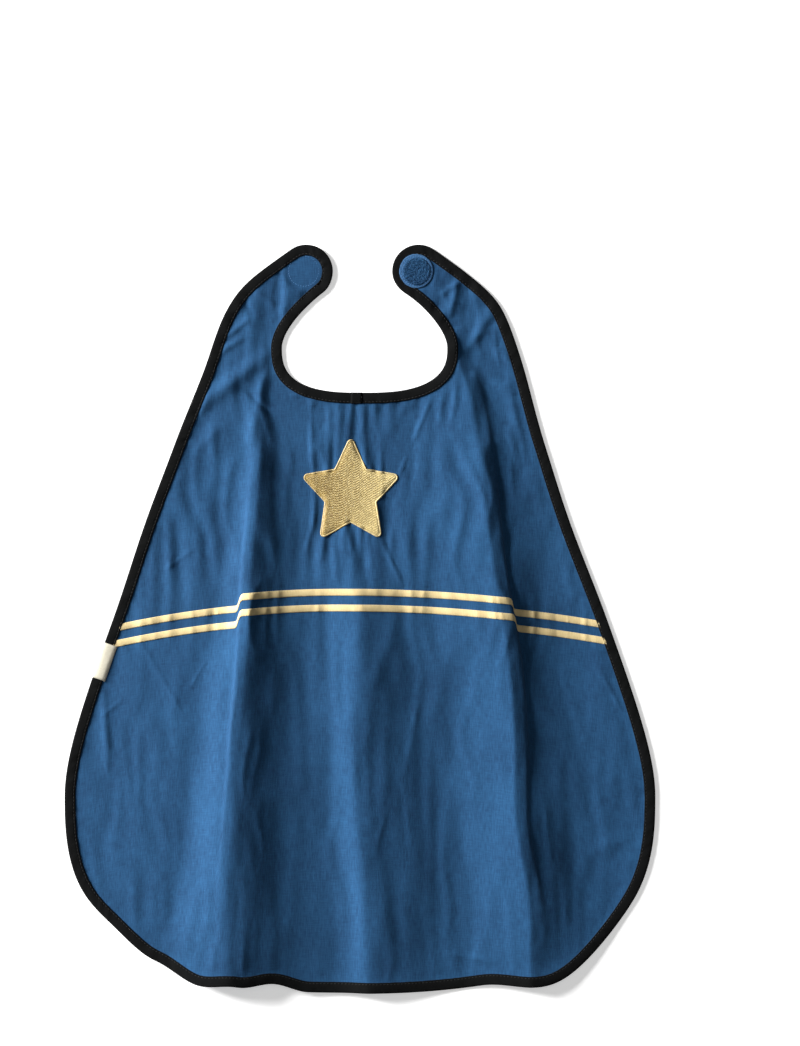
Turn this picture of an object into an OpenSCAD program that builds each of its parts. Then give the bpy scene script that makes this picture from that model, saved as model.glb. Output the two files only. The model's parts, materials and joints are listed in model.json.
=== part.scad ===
// Child's dress-up cape, lying flat with its outer face up.
// Origin: middle of the underside. +Y from the hem to the neck, +X to the right tab, +Z up.
// The cloth panel is edged all round with folded bias binding. Two shoulder straps reach round
// the neck and end in tabs with a hook-and-loop disc each. Straps and tabs bend on fold lines,
// so the panel and its binding are parted there into five bodies.

/* [Cape] */
// Length from the tip of the tabs to the hem
cape_length = 652; // [560:1:790]
// Greatest width, near the hem
cape_width = 515; // [430:1:620]
// Height of the widest level above the hem
widest_up = 171; // [130:1:210]
// Width across the shoulders
shoulder_w = 268; // [235:1:320]
// Drop from the middle of a tab to the shoulder level
shoulder_drop = 69; // [58:1:84]

/* [Neck and tabs] */
// Width of the neck opening
neck_w = 144; // [125:1:172]
// Drop from the middle of a tab to the bottom of the neck
neck_drop = 106; // [92:1:128]
// Height of the rounded bottom of the neck opening
neck_round = 39; // [32:1:48]
// Diameter of the hook and loop discs, which sit inside the binding of the tabs
disc_d = 30; // [25:0.5:36]
// Clearance between a disc and the binding round it
disc_margin = 0.2; // [0.2:0.1:4]
// Distance between the middles of the two tabs
tab_spacing = 98; // [84:1:116]
// Slope of the straps, in degrees below level
strap_slope = 35; // [30:1:40]

/* [Cloth] */
// Thickness of the cloth panel
cloth_t = 0.6; // [0.4:0.05:0.8]
// Width of the finished binding
binding_w = 8; // [6.5:0.1:10]
// Thickness of the binding on each side of the cloth
binding_t = 0.8; // [0.6:0.05:1]
// Height of a fold in the laid cloth
fold_h = 16; // [10:0.5:20]
// Length of the lap where the binding's ends join
join_l = 12; // [8:1:16]
// Distance of the stitches from the binding's inner edge
stitch_in = 1.5; // [1:0.1:2.5]
// Diameter of sewing thread
thread_d = 0.3; // [0.2:0.05:0.4]

/* [Trim] */
// Radius of the star's points before rounding
star_r = 48; // [38:1:56]
// Radius of the star's inner corners
star_inner_r = 24.4; // [20:0.2:28]
// Radius that rounds off each point of the star
star_round = 4; // [2:0.5:5]
// Width of the satin-stitched rim round the star
star_rim = 2; // [1.5:0.1:3]
// Thickness of the embroidery
star_t = 1; // [0.6:0.1:1.6]
// Distance from the bottom of the neck to the star's centre
star_down = 87.5; // [80:0.5:96]
// Width of each stripe
stripe_w = 6; // [4:0.5:8]
// Distance between the middles of the two stripes
stripe_pitch = 13.7; // [11:0.1:17]
// Thickness of a stripe's ribbon
stripe_t = 0.4; // [0.3:0.05:0.6]
// Distance from the star's centre to the middle of the upper stripe
stripe_down = 100; // [90:1:110]
// Thickness of the loop disc
loop_t = 1.6; // [1.2:0.1:2]
// Length of the side label along the edge
label_l = 33; // [26:1:40]
// Reach of the side label from the edge over the binding
label_reach = 10; // [9:0.5:13]
// Thickness of the side label
label_t = 0.3; // [0.2:0.05:0.4]
// Gap between the lower stripe and the side label
label_gap = 4; // [2:0.5:12]

/* [Hidden] */

blue = "#3a6a9c";
black = "#14171c";
gold = "#cfb67a";
light_gold = "#dcc68e";
cream_gold = "#e3cb97";
cream = "#ece6cf";
loop_blue = "#5286bf";
hook_blue = "#3f70a6";

// Heights in the stack of cloth
cloth_z = binding_t;
cloth_top = cloth_z + cloth_t;
binding_top = cloth_top + binding_t;
stack_top = binding_top + thread_d;

// A tab is as wide as its disc with the binding on both sides
tab_w = disc_d + 2 * (disc_margin + binding_w);

// Levels along Y
top_y = cape_length / 2;
hem_y = -cape_length / 2;
tab_y = top_y - tab_w / 2;
neck_y = tab_y - neck_drop;
neck_side_y = neck_y + neck_round;
widest_y = hem_y + widest_up;
star_y = neck_y - star_down;
stripe_y = star_y - stripe_down;

// The right strap runs from its tab outwards and down
strap_dir = [cos(strap_slope), -sin(strap_slope)];
strap_out = [sin(strap_slope), cos(strap_slope)];
tab = [tab_spacing / 2, tab_y];
shoulder = [shoulder_w / 2, tab_y - shoulder_drop];
shoulder_dir = [0.31, -0.951];
widest = [cape_width / 2, widest_y];

// Fold lines: a shoulder folds on a line that slopes out from the middle of the neck, and a tab
// bends on a line across its strap
shoulder_fold_slope = 30;
tab_root = tab_w / 2 + 4;
fold_gap = 0.4;
far = cape_length + cape_width;

// ---- Outline ----
// How square the corners are: 2 is an ellipse
hem_power = 2.65;
neck_power = 2.7;

function bezier(a, b, c, d, t) =
    a * pow(1 - t, 3) + b * 3 * t * pow(1 - t, 2) + c * 3 * t * t * (1 - t) + d * pow(t, 3);
function curve(a, b, c, d, steps) = [for (i = [1 : steps]) bezier(a, b, c, d, i / steps)];
function on_superellipse(centre, a, b, power, turn) =
    [centre[0] + a * pow(abs(sin(turn)), 2 / power), centre[1] - b * pow(abs(cos(turn)), 2 / power)];
// The same points on the other side, in reverse and without the last, which lies on the middle line
function mirrored_back(points) = [for (i = [len(points) - 2 : -1 : 0])
    [-points[i][0], points[i][1]]];

hem_half = [for (i = [1 : 22])
    on_superellipse([0, widest_y], cape_width / 2, widest_up, hem_power, 90 * i / 22)];
side_half = curve(widest, widest + [0, 60], shoulder + shoulder_dir * 0.64 * (shoulder[1] - widest_y),
    shoulder, 12);
strap_end = tab + strap_out * tab_w / 2;
shoulder_half = curve(shoulder, shoulder - shoulder_dir * 48,
    strap_end + strap_dir * 62, strap_end, 14);
tab_end = [for (i = [1 : 15]) tab + [cos(90 - strap_slope + 12 * i), sin(90 - strap_slope + 12 * i)]
    * tab_w / 2];
neck_corner = [neck_w / 2, neck_side_y];
inner_end = tab - strap_out * tab_w / 2;
neck_side_half = curve(inner_end, inner_end + strap_dir * 22, neck_corner + [0, 14],
    neck_corner, 12);
neck_half = [for (i = [1 : 16])
    on_superellipse([0, neck_side_y], neck_w / 2, neck_round, neck_power, 90 - 90 * i / 16)];
half_outline = concat(hem_half, side_half, shoulder_half, tab_end, neck_side_half, neck_half);
outline = concat([[0, hem_y]], half_outline, mirrored_back(half_outline));

// The outline moved inwards by a distance, point by point along its own normals
function inset(distance) = [for (i = [0 : len(outline) - 1]) let (
    before = outline[(i + len(outline) - 1) % len(outline)],
    after = outline[(i + 1) % len(outline)],
    along = (after - before) / norm(after - before))
    outline[i] + [-along[1], along[0]] * distance];

// ---- Bodies ----
// Everything above the right shoulder fold, grown past the fold line by a distance
module right_shoulder_side(grow) {
    intersection() {
        square(far);
        translate([0, neck_side_y]) rotate(-shoulder_fold_slope)
            translate([-far, -grow]) square(2 * far);
    }
}

// The right tab's side of the line on which it bends
module right_tab_side(grow) {
    intersection() {
        square(far);
        translate(tab) rotate(-strap_slope)
            translate([-2 * tab_w, -tab_w]) square([2 * tab_w + tab_root + grow, 2 * tab_w]);
    }
}

module cape_area() {
    difference() {
        translate([-far / 2, -far / 2]) square(far);
        right_shoulder_side(fold_gap / 2);
        mirror([1, 0]) right_shoulder_side(fold_gap / 2);
    }
}

module right_shoulder_area() {
    difference() {
        right_shoulder_side(-fold_gap / 2);
        right_tab_side(fold_gap / 2);
    }
}

module right_tab_area() {
    right_tab_side(-fold_gap / 2);
}

// ---- Folds of the laid cloth ----
// Each fold: top point, bottom point, where its full height starts and ends along it, half width
folds = [
    [[-cape_width * 0.165, star_y + 25], [-cape_width * 0.27, hem_y + 55], 0.3, 0.82, 34],
    [[-4, stripe_y + 25], [18, hem_y + 45], 0.35, 0.8, 30],
    [[cape_width * 0.18, star_y + 30], [cape_width * 0.325, hem_y + 60], 0.3, 0.82, 34]
];

// Six corners of a fold's foot, then the two ends of its ridge
function fold_points(fold, z) = let (
    a = fold[0], b = fold[1],
    along = (b - a) / norm(b - a),
    across = [-along[1], along[0]] * fold[4],
    p = a + (b - a) * fold[2], q = a + (b - a) * fold[3])
    [for (v = [a, p - across, q - across, b, q + across, p + across, p, q])
        [v[0], v[1], z + (v == p || v == q ? fold_h : 0)]];

function foot(fold) = [for (i = [0 : 5]) let (v = fold_points(fold, 0)[i]) [v[0], v[1]]];

// A shell over one fold, from the lower surface to the upper one
module fold_shell(fold, z0, z1) {
    n = 8;
    slopes = [[0, 1, 6], [0, 6, 5], [1, 2, 7], [1, 7, 6], [6, 7, 4], [6, 4, 5], [2, 3, 7], [3, 4, 7]];
    walls = [for (i = [0 : 5]) let (j = (i + 1) % 6) [i, j, j + n, i + n]];
    polyhedron(concat(fold_points(fold, z1), fold_points(fold, z0)),
        concat([for (s = slopes) [s[0], s[2], s[1]]], [for (s = slopes) s + [n, n, n]],
            [for (w = walls) [w[0], w[1], w[2]]], [for (w = walls) [w[0], w[2], w[3]]]));
}

// A layer of cloth between two heights over the surface that the cape lies on, folds included
module laid_layer(z0, z1) {
    difference() {
        translate([-far / 2, -far / 2, z0]) cube([far, far, z1 - z0]);
        for (fold = folds) translate([0, 0, z0 - 1]) linear_extrude(z1 - z0 + 2) polygon(foot(fold));
    }
    for (fold = folds) fold_shell(fold, z0, z1);
}

// ---- Pieces that every body has ----
module cut_cloth() {
    polygon(inset(binding_t));
}

module binding_ring() {
    difference() {
        polygon(outline);
        polygon(inset(binding_w));
    }
}

// Folded tape round the edge of the cloth, over the area of one body
module edge_binding() {
    color(black) difference() {
        linear_extrude(binding_top) intersection() {
            binding_ring();
            children();
        }
        translate([0, 0, cloth_z]) linear_extrude(cloth_t) cut_cloth();
    }
}

// Line of stitches along the inner edge of the binding
module edge_stitching() {
    color(black) translate([0, 0, binding_top]) linear_extrude(thread_d) intersection() {
        difference() {
            polygon(inset(binding_w - stitch_in - thread_d));
            polygon(inset(binding_w - stitch_in + thread_d));
        }
        children();
    }
}

module flat_cloth() {
    color(blue) translate([0, 0, cloth_z]) linear_extrude(cloth_t) intersection() {
        cut_cloth();
        children();
    }
}

// ---- Cape body ----
module cape_panel() {
    color(blue) intersection() {
        linear_extrude(3 * fold_h) intersection() {
            cut_cloth();
            cape_area();
        }
        laid_layer(cloth_z, cloth_top);
    }
}

module cape_binding() {
    color(black) difference() {
        edge_binding() cape_area();
        label_space();
    }
}

// Stretch of the neck edge where the tape's folded end laps over its start
module join_area() {
    translate([0, neck_y - 2 * binding_w]) square([join_l, 4 * binding_w]);
}

module binding_join() {
    color(black) translate([0, 0, binding_top]) linear_extrude(binding_t / 2) intersection() {
        binding_ring();
        join_area();
    }
}

module cape_binding_stitching() {
    difference() {
        edge_stitching() cape_area();
        translate([0, 0, -1]) linear_extrude(binding_top + 2) {
            label_area(2 * label_reach);
            join_area();
        }
    }
}

module stripe(middle_y) {
    color(cream_gold) intersection() {
        linear_extrude(3 * fold_h) intersection() {
            polygon(inset(binding_w));
            translate([-cape_width, middle_y - stripe_w / 2]) square([2 * cape_width, stripe_w]);
        }
        laid_layer(cloth_top, cloth_top + stripe_t);
    }
}

module upper_stripe() {
    stripe(stripe_y);
}

module lower_stripe() {
    stripe(stripe_y - stripe_pitch);
}

// ---- Star ----
function star_corner(i, tip_r, inner_r) =
    (i % 2 == 0 ? tip_r : inner_r) * [cos(90 + 36 * i), sin(90 + 36 * i)];

// Arc of a given radius that rounds the corner at b between a and c
function rounded(a, b, c, radius, steps) = let (
    u = (a - b) / norm(a - b), v = (c - b) / norm(c - b),
    half = acos(u * v) / 2,
    middle = (u + v) / norm(u + v),
    centre = b + middle * radius / sin(half),
    facing = atan2(-middle[1], -middle[0]))
    [for (i = [0 : steps]) let (turn = facing + (90 - half) * (2 * i / steps - 1))
        centre + radius * [cos(turn), sin(turn)]];

// Five-pointed star with rounded tips, its edges moved inwards by a distance
module star_shape(margin) {
    edge_angle = atan2(star_inner_r * sin(36), star_r - star_inner_r * cos(36));
    tip_r = star_r - margin / sin(edge_angle);
    inner_r = star_inner_r * tip_r / star_r;
    translate([0, star_y]) polygon([for (i = [0 : 9])
        for (p = i % 2 == 0
            ? rounded(star_corner(i - 1, tip_r, inner_r), star_corner(i, tip_r, inner_r),
                star_corner(i + 1, tip_r, inner_r), max(0.5, star_round - margin), 6)
            : [star_corner(i, tip_r, inner_r)]) p]);
}

module star() {
    color(gold) translate([0, 0, cloth_top]) linear_extrude(star_t) star_shape(star_rim);
}

module star_rim() {
    color(light_gold) translate([0, 0, cloth_top]) linear_extrude(star_t * 1.3) difference() {
        star_shape(0);
        star_shape(star_rim);
    }
}

// Stiffening under the embroidery
module star_backing() {
    color("white") translate([0, 0, cloth_z / 2]) linear_extrude(cloth_z / 2) star_shape(-2);
}

// ---- Side label ----
// Stretch of the left edge, below the lower stripe, that the label wraps
label_y = stripe_y - stripe_pitch - stripe_w / 2 - label_gap - label_l / 2;

module label_area(reach) {
    intersection() {
        difference() {
            polygon(outline);
            polygon(inset(reach));
        }
        translate([-cape_width, label_y - label_l / 2]) square([cape_width, label_l]);
    }
}

// The label's own solid is what fills this space: over, outside and under the binding
module label_space() {
    difference() {
        linear_extrude(binding_top + label_t) label_area(label_reach);
        translate([0, 0, label_t]) linear_extrude(binding_top - label_t) polygon(inset(label_t));
        translate([0, 0, -1]) linear_extrude(2) polygon(inset(binding_w));
    }
}

module side_label() {
    color(cream) label_space();
}

// A row of stitches across each end of the label
module label_stitching() {
    color(cream) for (end = [-1, 1])
        translate([0, 0, binding_top + label_t]) linear_extrude(thread_d) intersection() {
            difference() {
                polygon(inset(stitch_in));
                polygon(inset(label_reach - stitch_in));
            }
            translate([-cape_width, label_y + end * (label_l / 2 - stitch_in) - thread_d])
                square([cape_width, 2 * thread_d]);
        }
}

// ---- Discs, drawn on the right tab ----
module disc(z, height) {
    translate([tab[0], tab[1], z]) cylinder(h = height, d = disc_d, $fn = 64);
}

// A ring of stitches just inside a disc's rim
module disc_stitching(z) {
    ring_d = disc_d - 2 * stitch_in;
    translate([tab[0], tab[1], z]) difference() {
        cylinder(h = thread_d, d = ring_d, $fn = 64);
        translate([0, 0, -1]) cylinder(h = thread_d + 2, d = ring_d - 4 * thread_d, $fn = 64);
    }
}

// ---- Right strap ----
module right_shoulder_panel() { flat_cloth() right_shoulder_area(); }
module right_shoulder_binding() { edge_binding() right_shoulder_area(); }
module right_shoulder_stitching() { edge_stitching() right_shoulder_area(); }
module right_tab_panel() { flat_cloth() right_tab_area(); }
module right_tab_binding() { edge_binding() right_tab_area(); }
module right_tab_stitching() { edge_stitching() right_tab_area(); }
module loop_disc() { color(loop_blue) disc(cloth_top, loop_t); }
module loop_stitching() { color(blue) disc_stitching(cloth_top + loop_t); }

// ---- Left strap: the right one mirrored, but its disc is underneath ----
module left_shoulder_panel() { mirror([1, 0, 0]) right_shoulder_panel(); }
module left_shoulder_binding() { mirror([1, 0, 0]) right_shoulder_binding(); }
module left_shoulder_stitching() { mirror([1, 0, 0]) right_shoulder_stitching(); }
module left_tab_panel() { mirror([1, 0, 0]) right_tab_panel(); }
module left_tab_binding() { mirror([1, 0, 0]) right_tab_binding(); }
module left_tab_stitching() { mirror([1, 0, 0]) right_tab_stitching(); }
module hook_disc() { color(hook_blue) mirror([1, 0, 0]) disc(0, cloth_z); }
// The hook disc's stitches come through to the top of the left tab
module hook_stitching() { color(blue) mirror([1, 0, 0]) disc_stitching(cloth_top); }

cape_panel();
cape_binding();
binding_join();
cape_binding_stitching();
upper_stripe();
lower_stripe();
star();
star_rim();
star_backing();
side_label();
label_stitching();
left_shoulder_panel();
left_shoulder_binding();
left_shoulder_stitching();
left_tab_panel();
left_tab_binding();
left_tab_stitching();
hook_disc();
hook_stitching();
right_shoulder_panel();
right_shoulder_binding();
right_shoulder_stitching();
right_tab_panel();
right_tab_binding();
right_tab_stitching();
loop_disc();
loop_stitching();
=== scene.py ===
# %% [markdown]
# # A child's dress-up cape, laid flat
#
# A cotton panel edged with bias binding, two straps with hook-and-loop tabs, an embroidered star and
# two ribbons. The solids that carry the joints come ready made. This lesson dresses them: it lays
# real cloth, with its folds and puckers, in the places that those solids hold.
#
# The cloth isn't draped by simulation. A laid cape keeps the few long folds that a hand left in it, so
# the folds are drawn as lines and heights, which can be moved one at a time.

import json
import math

import bpy
import numpy as np
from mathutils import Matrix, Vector
from mathutils.geometry import delaunay_2d_cdt


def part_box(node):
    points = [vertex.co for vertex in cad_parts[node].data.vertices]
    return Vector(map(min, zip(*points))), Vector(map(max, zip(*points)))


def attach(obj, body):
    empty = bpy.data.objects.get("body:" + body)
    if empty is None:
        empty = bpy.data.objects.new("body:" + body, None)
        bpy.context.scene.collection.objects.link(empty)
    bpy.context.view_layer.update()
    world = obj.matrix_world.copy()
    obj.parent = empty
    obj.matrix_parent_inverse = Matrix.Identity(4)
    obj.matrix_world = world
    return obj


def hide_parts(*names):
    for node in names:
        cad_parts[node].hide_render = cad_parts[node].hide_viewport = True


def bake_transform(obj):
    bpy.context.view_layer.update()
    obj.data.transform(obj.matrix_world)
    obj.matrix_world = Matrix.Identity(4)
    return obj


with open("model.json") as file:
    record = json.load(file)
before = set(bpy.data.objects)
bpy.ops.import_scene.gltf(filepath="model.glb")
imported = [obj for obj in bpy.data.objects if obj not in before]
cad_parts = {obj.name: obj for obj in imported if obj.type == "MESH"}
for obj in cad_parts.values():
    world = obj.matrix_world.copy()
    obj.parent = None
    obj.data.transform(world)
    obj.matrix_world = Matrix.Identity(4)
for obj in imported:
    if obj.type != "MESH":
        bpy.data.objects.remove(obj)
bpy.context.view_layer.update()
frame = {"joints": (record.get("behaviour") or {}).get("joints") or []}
MM = 0.001


# %% Sizes, in millimetres, from the frame where it has them
def box_mm(node):
    low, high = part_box(node)
    return np.array(low) / MM, np.array(high) / MM


binding_low, binding_high = box_mm("cape_binding")
HALF_WIDTH = binding_high[0]
HEM_Y = binding_low[1]
loop_low, loop_high = box_mm("loop_disc")
TAB = (loop_low[:2] + loop_high[:2]) / 2
DISC_R = (loop_high[0] - loop_low[0]) / 2
NECK_Y = box_mm("binding_join")[1][1]
CLOTH_LOW, CLOTH_HIGH = (corner[2] for corner in box_mm("left_tab_panel"))
BINDING_W = 8.0
# The tape itself is cut wider than the plain band of the design, so it lies a little way under the disc
TAPE_W = 9.5
TAB_R = DISC_R + BINDING_W + 0.2
# Everything past a shoulder line lies above this
BELOW_SHOULDERS_Y = 90
NECK_HALF_W = 72.0
NECK_ROUND = 39.0
WIDEST_Y = HEM_Y + 171.0
SHOULDER = np.array([134.0, TAB[1] - 69.0])
STRAP_SLOPE = math.radians(35)
print(f"cape {2 * HALF_WIDTH:.0f} mm wide, tabs at {TAB.round(1)}")


# %% [markdown]
# ## The outline
#
# The outline is the same curve that the solids were cut to: quarter superellipses for the hem and
# the bottom of the neck, Bezier curves for the sides and straps, and arcs for the tabs. A laid cape
# is never quite even, so a few broad shifts then move the neck and hem by some millimetres.

# %% Draw the outline
def smooth(t):
    t = np.clip(t, 0.0, 1.0)
    return t * t * (3 - 2 * t)


def bump(x, centre, reach):
    """1 at the centre, falling smoothly to 0 at reach on both sides."""
    return smooth(1 - np.abs(np.asarray(x, float) - centre) / reach)


def bezier(a, b, c, d, steps):
    t = np.linspace(0, 1, steps + 1)[1:, None]
    a, b, c, d = (np.asarray(p, float) for p in (a, b, c, d))
    return a * (1 - t) ** 3 + b * 3 * t * (1 - t) ** 2 + c * 3 * t**2 * (1 - t) + d * t**3


def superellipse(centre_y, half_w, height, power, turns):
    x = half_w * np.abs(np.sin(turns)) ** (2 / power)
    y = centre_y - height * np.abs(np.cos(turns)) ** (2 / power)
    return np.stack([x, y], 1)


strap = np.array([math.cos(STRAP_SLOPE), -math.sin(STRAP_SLOPE)])
strap_out = np.array([math.sin(STRAP_SLOPE), math.cos(STRAP_SLOPE)])
shoulder_dir = np.array([0.31, -0.951])
widest = np.array([HALF_WIDTH, WIDEST_Y])
neck_corner = np.array([NECK_HALF_W, NECK_Y + NECK_ROUND])
side_pull = 0.64 * (SHOULDER[1] - WIDEST_Y)
tab_turns = np.radians(90) - STRAP_SLOPE + np.radians(np.linspace(0, 180, 61)[1:])
half = np.concatenate([
    superellipse(WIDEST_Y, HALF_WIDTH, WIDEST_Y - HEM_Y, 2.65, np.linspace(0, math.pi / 2, 121)),
    bezier(widest, widest + [0, 60], SHOULDER + shoulder_dir * side_pull, SHOULDER, 120),
    bezier(SHOULDER, SHOULDER - shoulder_dir * 48, TAB + strap_out * TAB_R + strap * 62,
           TAB + strap_out * TAB_R, 60),
    TAB + TAB_R * np.stack([np.cos(tab_turns), np.sin(tab_turns)], 1),
    bezier(TAB - strap_out * TAB_R, TAB - strap_out * TAB_R + strap * 22, neck_corner + [0, 14],
           neck_corner, 50),
    superellipse(NECK_Y + NECK_ROUND, NECK_HALF_W, NECK_ROUND, 2.7,
                 np.linspace(math.pi / 2, 0, 91)[1:]),
])
cut = np.concatenate([half, (half[:-1] * [-1, 1])[::-1][:-1]])

# How the hem strays from the cut: middle, reach and shift of each wave
HEM_WAVES = [(172, 66, -15.5), (-75, 30, 6), (-142, 34, -6.5), (-218, 38, 6)]


def settled(p):
    """Where the laid edge lies, given where it was cut."""
    x, y = p[:, 0].copy(), p[:, 1].copy()
    near_hem = smooth((-y - 150) / 100)
    for middle, reach, shift in HEM_WAVES:
        y += shift * bump(p[:, 0], middle, reach) * near_hem
    x += 4 * smooth((p[:, 1] - 150) / 80) - 1.8 * smooth((p[:, 1] - 270) / 30)
    x -= 2 * bump(p[:, 1], 85, 85)
    return np.stack([x, y], 1)


def even(points, step):
    """The closed line through points, with points a step apart."""
    loop = np.vstack([points, points[:1]])
    run = np.concatenate([[0], np.cumsum(np.linalg.norm(np.diff(loop, axis=0), axis=1))])
    count = int(round(run[-1] / step))
    at = np.linspace(0, run[-1], count + 1)[:-1]
    return np.stack([np.interp(at, run, loop[:, i]) for i in (0, 1)], 1)


EDGE_STEP = 2.0
edge = even(settled(cut), EDGE_STEP)
edge_along = np.roll(edge, -1, 0) - np.roll(edge, 1, 0)
edge_along /= np.linalg.norm(edge_along, axis=1)[:, None]
edge_in = np.stack([-edge_along[:, 1], edge_along[:, 0]], 1)
print(f"edge {len(edge) * EDGE_STEP / 1000:.2f} m long")


# %% [markdown]
# ## How the cloth lies
#
# Three long folds run down from the neck. Each is a crest and a valley, given as lines with a few
# points: height up the cape, then place across, or height off the table. Across the cape the
# surface runs smoothly from one line to the next, and it falls faster past a crest than it climbs.
# At two steps a little cloth is tucked in, which moves the ribbons out of line where they cross.
#
# Places on the cut cloth are (a, b), and `lay` turns them into places on the table.

# %% A smooth line through a few points
def through(y, *points):
    """A smooth value through points (y, value), constant past the ends."""
    ys, vs = (np.array(v, float) for v in zip(*sorted(points)))
    slopes = np.gradient(vs, ys)
    slopes[[0, -1]] = 0
    y = np.clip(np.asarray(y, float), ys[0], ys[-1])
    k = np.clip(np.searchsorted(ys, y) - 1, 0, len(ys) - 2)
    h = ys[k + 1] - ys[k]
    t = (y - ys[k]) / h
    return ((2 * t**3 - 3 * t**2 + 1) * vs[k] + (t**3 - 2 * t**2 + t) * h * slopes[k]
            + (3 * t**2 - 2 * t**3) * vs[k + 1] + (t**3 - t**2) * h * slopes[k + 1])


# %% The lines of the folds
# For each line: where it runs, then how high it lies
LEFT_FOOT = [(190, -104), (120, -112), (50, -122), (-35, -138), (-105, -146), (-175, -158), (-245, -166),
             (-290, -178)]
LEFT_FOOT_Z = [(190, 0), (50, 2), (-35, 3.5), (-105, 4), (-245, 3), (-290, 2.5), (-326, 2)]
LEFT_CREST = [(190, -86), (120, -88), (50, -94), (-35, -99), (-105, -105), (-175, -110), (-245, -115),
              (-290, -113)]
LEFT_CREST_Z = [(198, 0.3), (165, 3.5), (120, 6.5), (50, 10), (-35, 14), (-105, 16), (-175, 17), (-290, 16),
                (-326, 14)]
LEFT_VALLEY = [(190, -74), (147, -66), (50, -50), (-35, -46), (-105, -38), (-175, -31), (-245, -22),
               (-290, -20)]
LEFT_VALLEY_Z = [(190, 0), (50, 0.5), (-35, 2), (-105, 3.5), (-245, 3), (-326, 1.5)]
MIDDLE_CREST = [(80, -10), (-35, -3), (-105, -5), (-175, -3), (-245, 5), (-290, 7)]
MIDDLE_CREST_Z = [(80, 0.5), (16, 4.5), (-35, 8.5), (-105, 10.5), (-175, 10.5), (-245, 10), (-326, 7)]
MIDDLE_VALLEY = [(80, 45), (-35, 70), (-105, 78), (-175, 85), (-245, 92), (-290, 94)]
MIDDLE_VALLEY_Z = [(120, 0), (50, 1.5), (-35, 1.5), (-175, 0.5), (-326, 0)]
RIGHT_CREST = [(240, 83), (190, 97), (120, 107), (50, 115), (-35, 129), (-105, 134), (-175, 135),
               (-245, 147), (-290, 148)]
RIGHT_CREST_Z = [(258, 0.3), (225, 3), (190, 5), (120, 8), (50, 10), (-35, 11), (-105, 12), (-245, 11),
                 (-326, 7)]
RIGHT_VALLEY = [(240, 95), (190, 125), (120, 150), (50, 171), (-35, 188), (-105, 202), (-175, 210),
                (-290, 235)]
# Cloth tucked in at the two steps, and where the steps lie from the crests
LEFT_TUCK = [(180, 0), (100, 3), (16, 5), (-71, 5), (-200, 3), (-290, 1)]
RIGHT_TUCK = [(250, 0), (200, 3), (147, 5), (60, 8), (-27, 9), (-115, 6), (-200, 3), (-290, 1)]
LEFT_STEP, RIGHT_STEP = -8.5, 12.0
STEP_WIDTH = 7.0


# %% Lay the cloth
def wall(t):
    """Past a crest: turns over quickly, then runs out slowly."""
    return smooth(np.clip(t, 0, 1) ** 0.68)


def leaning(t):
    return smooth(np.clip(t, 0, 1) ** 0.85)


def swelling(t):
    return np.clip(t, 0, 1) ** 1.4


def rising(t):
    """A long swell that rounds over at its top."""
    t = np.clip(t, 0, 1)
    return 1.25 * t ** 2 - 0.25 * t ** 6


FOLD_SHAPES = (smooth, wall, rising, leaning, swelling, wall)


def fold_places(b):
    """Places across the cut cloth of the lines of the folds, from left to right."""
    return [through(b, *LEFT_FOOT) - through(b, *LEFT_TUCK), through(b, *LEFT_CREST),
            through(b, *LEFT_VALLEY),
            through(b, *MIDDLE_CREST), through(b, *MIDDLE_VALLEY), through(b, *RIGHT_CREST),
            through(b, *RIGHT_VALLEY) + through(b, *RIGHT_TUCK)]


def fold_heights(b):
    return [through(b, *LEFT_FOOT_Z), through(b, *LEFT_CREST_Z), through(b, *LEFT_VALLEY_Z),
            through(b, *MIDDLE_CREST_Z), through(b, *MIDDLE_VALLEY_Z), through(b, *RIGHT_CREST_Z),
            np.zeros_like(b)]


def past_steps(a, b, places):
    """How far places lie past the left and the right step, from 0 to 1."""
    left_tuck, right_tuck = through(b, *LEFT_TUCK), through(b, *RIGHT_TUCK)
    left_start = places[1] + LEFT_STEP - STEP_WIDTH / 2 - left_tuck
    right_start = places[5] + RIGHT_STEP - STEP_WIDTH / 2
    return (smooth((a - left_start) / (STEP_WIDTH + left_tuck)),
            smooth((a - right_start) / (STEP_WIDTH + right_tuck)),
            left_tuck, right_tuck)


def lay(a, b):
    """Where a place on the cut cloth lies on the table, with only the large folds."""
    a, b = np.asarray(a, float), np.asarray(b, float)
    places, heights = fold_places(b), fold_heights(b)
    z = heights[0] * smooth(1 - (places[0] - a) / 90)
    for k, shape in enumerate(FOLD_SHAPES):
        t = shape((a - places[k]) / (places[k + 1] - places[k]))
        z = np.where(a > places[k], heights[k] + (heights[k + 1] - heights[k]) * t, z)
    past_left, past_right, left_tuck, right_tuck = past_steps(a, b, places)
    x = a + left_tuck * (1 - past_left) - right_tuck * past_right
    swing = 8 - np.where(a < -15, 5.3e-4, 3.6e-4) * (a + 15) ** 2
    swing = swing - 9.5 * (1 - past_left) - 8.4 * past_right
    fade = smooth((170 - b) / 100) * smooth((b + 310) / 120)
    return x, b + swing * fade, z


def unlay(x, y):
    """The place on the cut cloth of a place on the table."""
    a, b = np.array(x, float), np.array(y, float)
    for _ in range(60):
        lx, ly, _z = lay(a, b)
        a += 0.6 * (x - lx)
        b += 0.6 * (y - ly)
    return a, b


cloth_edge_plan = edge + edge_in * 2.0
cloth_edge = np.stack(unlay(cloth_edge_plan[:, 0], cloth_edge_plan[:, 1]), 1)
lx, ly, _z = lay(cloth_edge[:, 0], cloth_edge[:, 1])
print("outline found to",
      round(float(np.hypot(lx - cloth_edge_plan[:, 0], ly - cloth_edge_plan[:, 1]).max()), 3), "mm")


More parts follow.
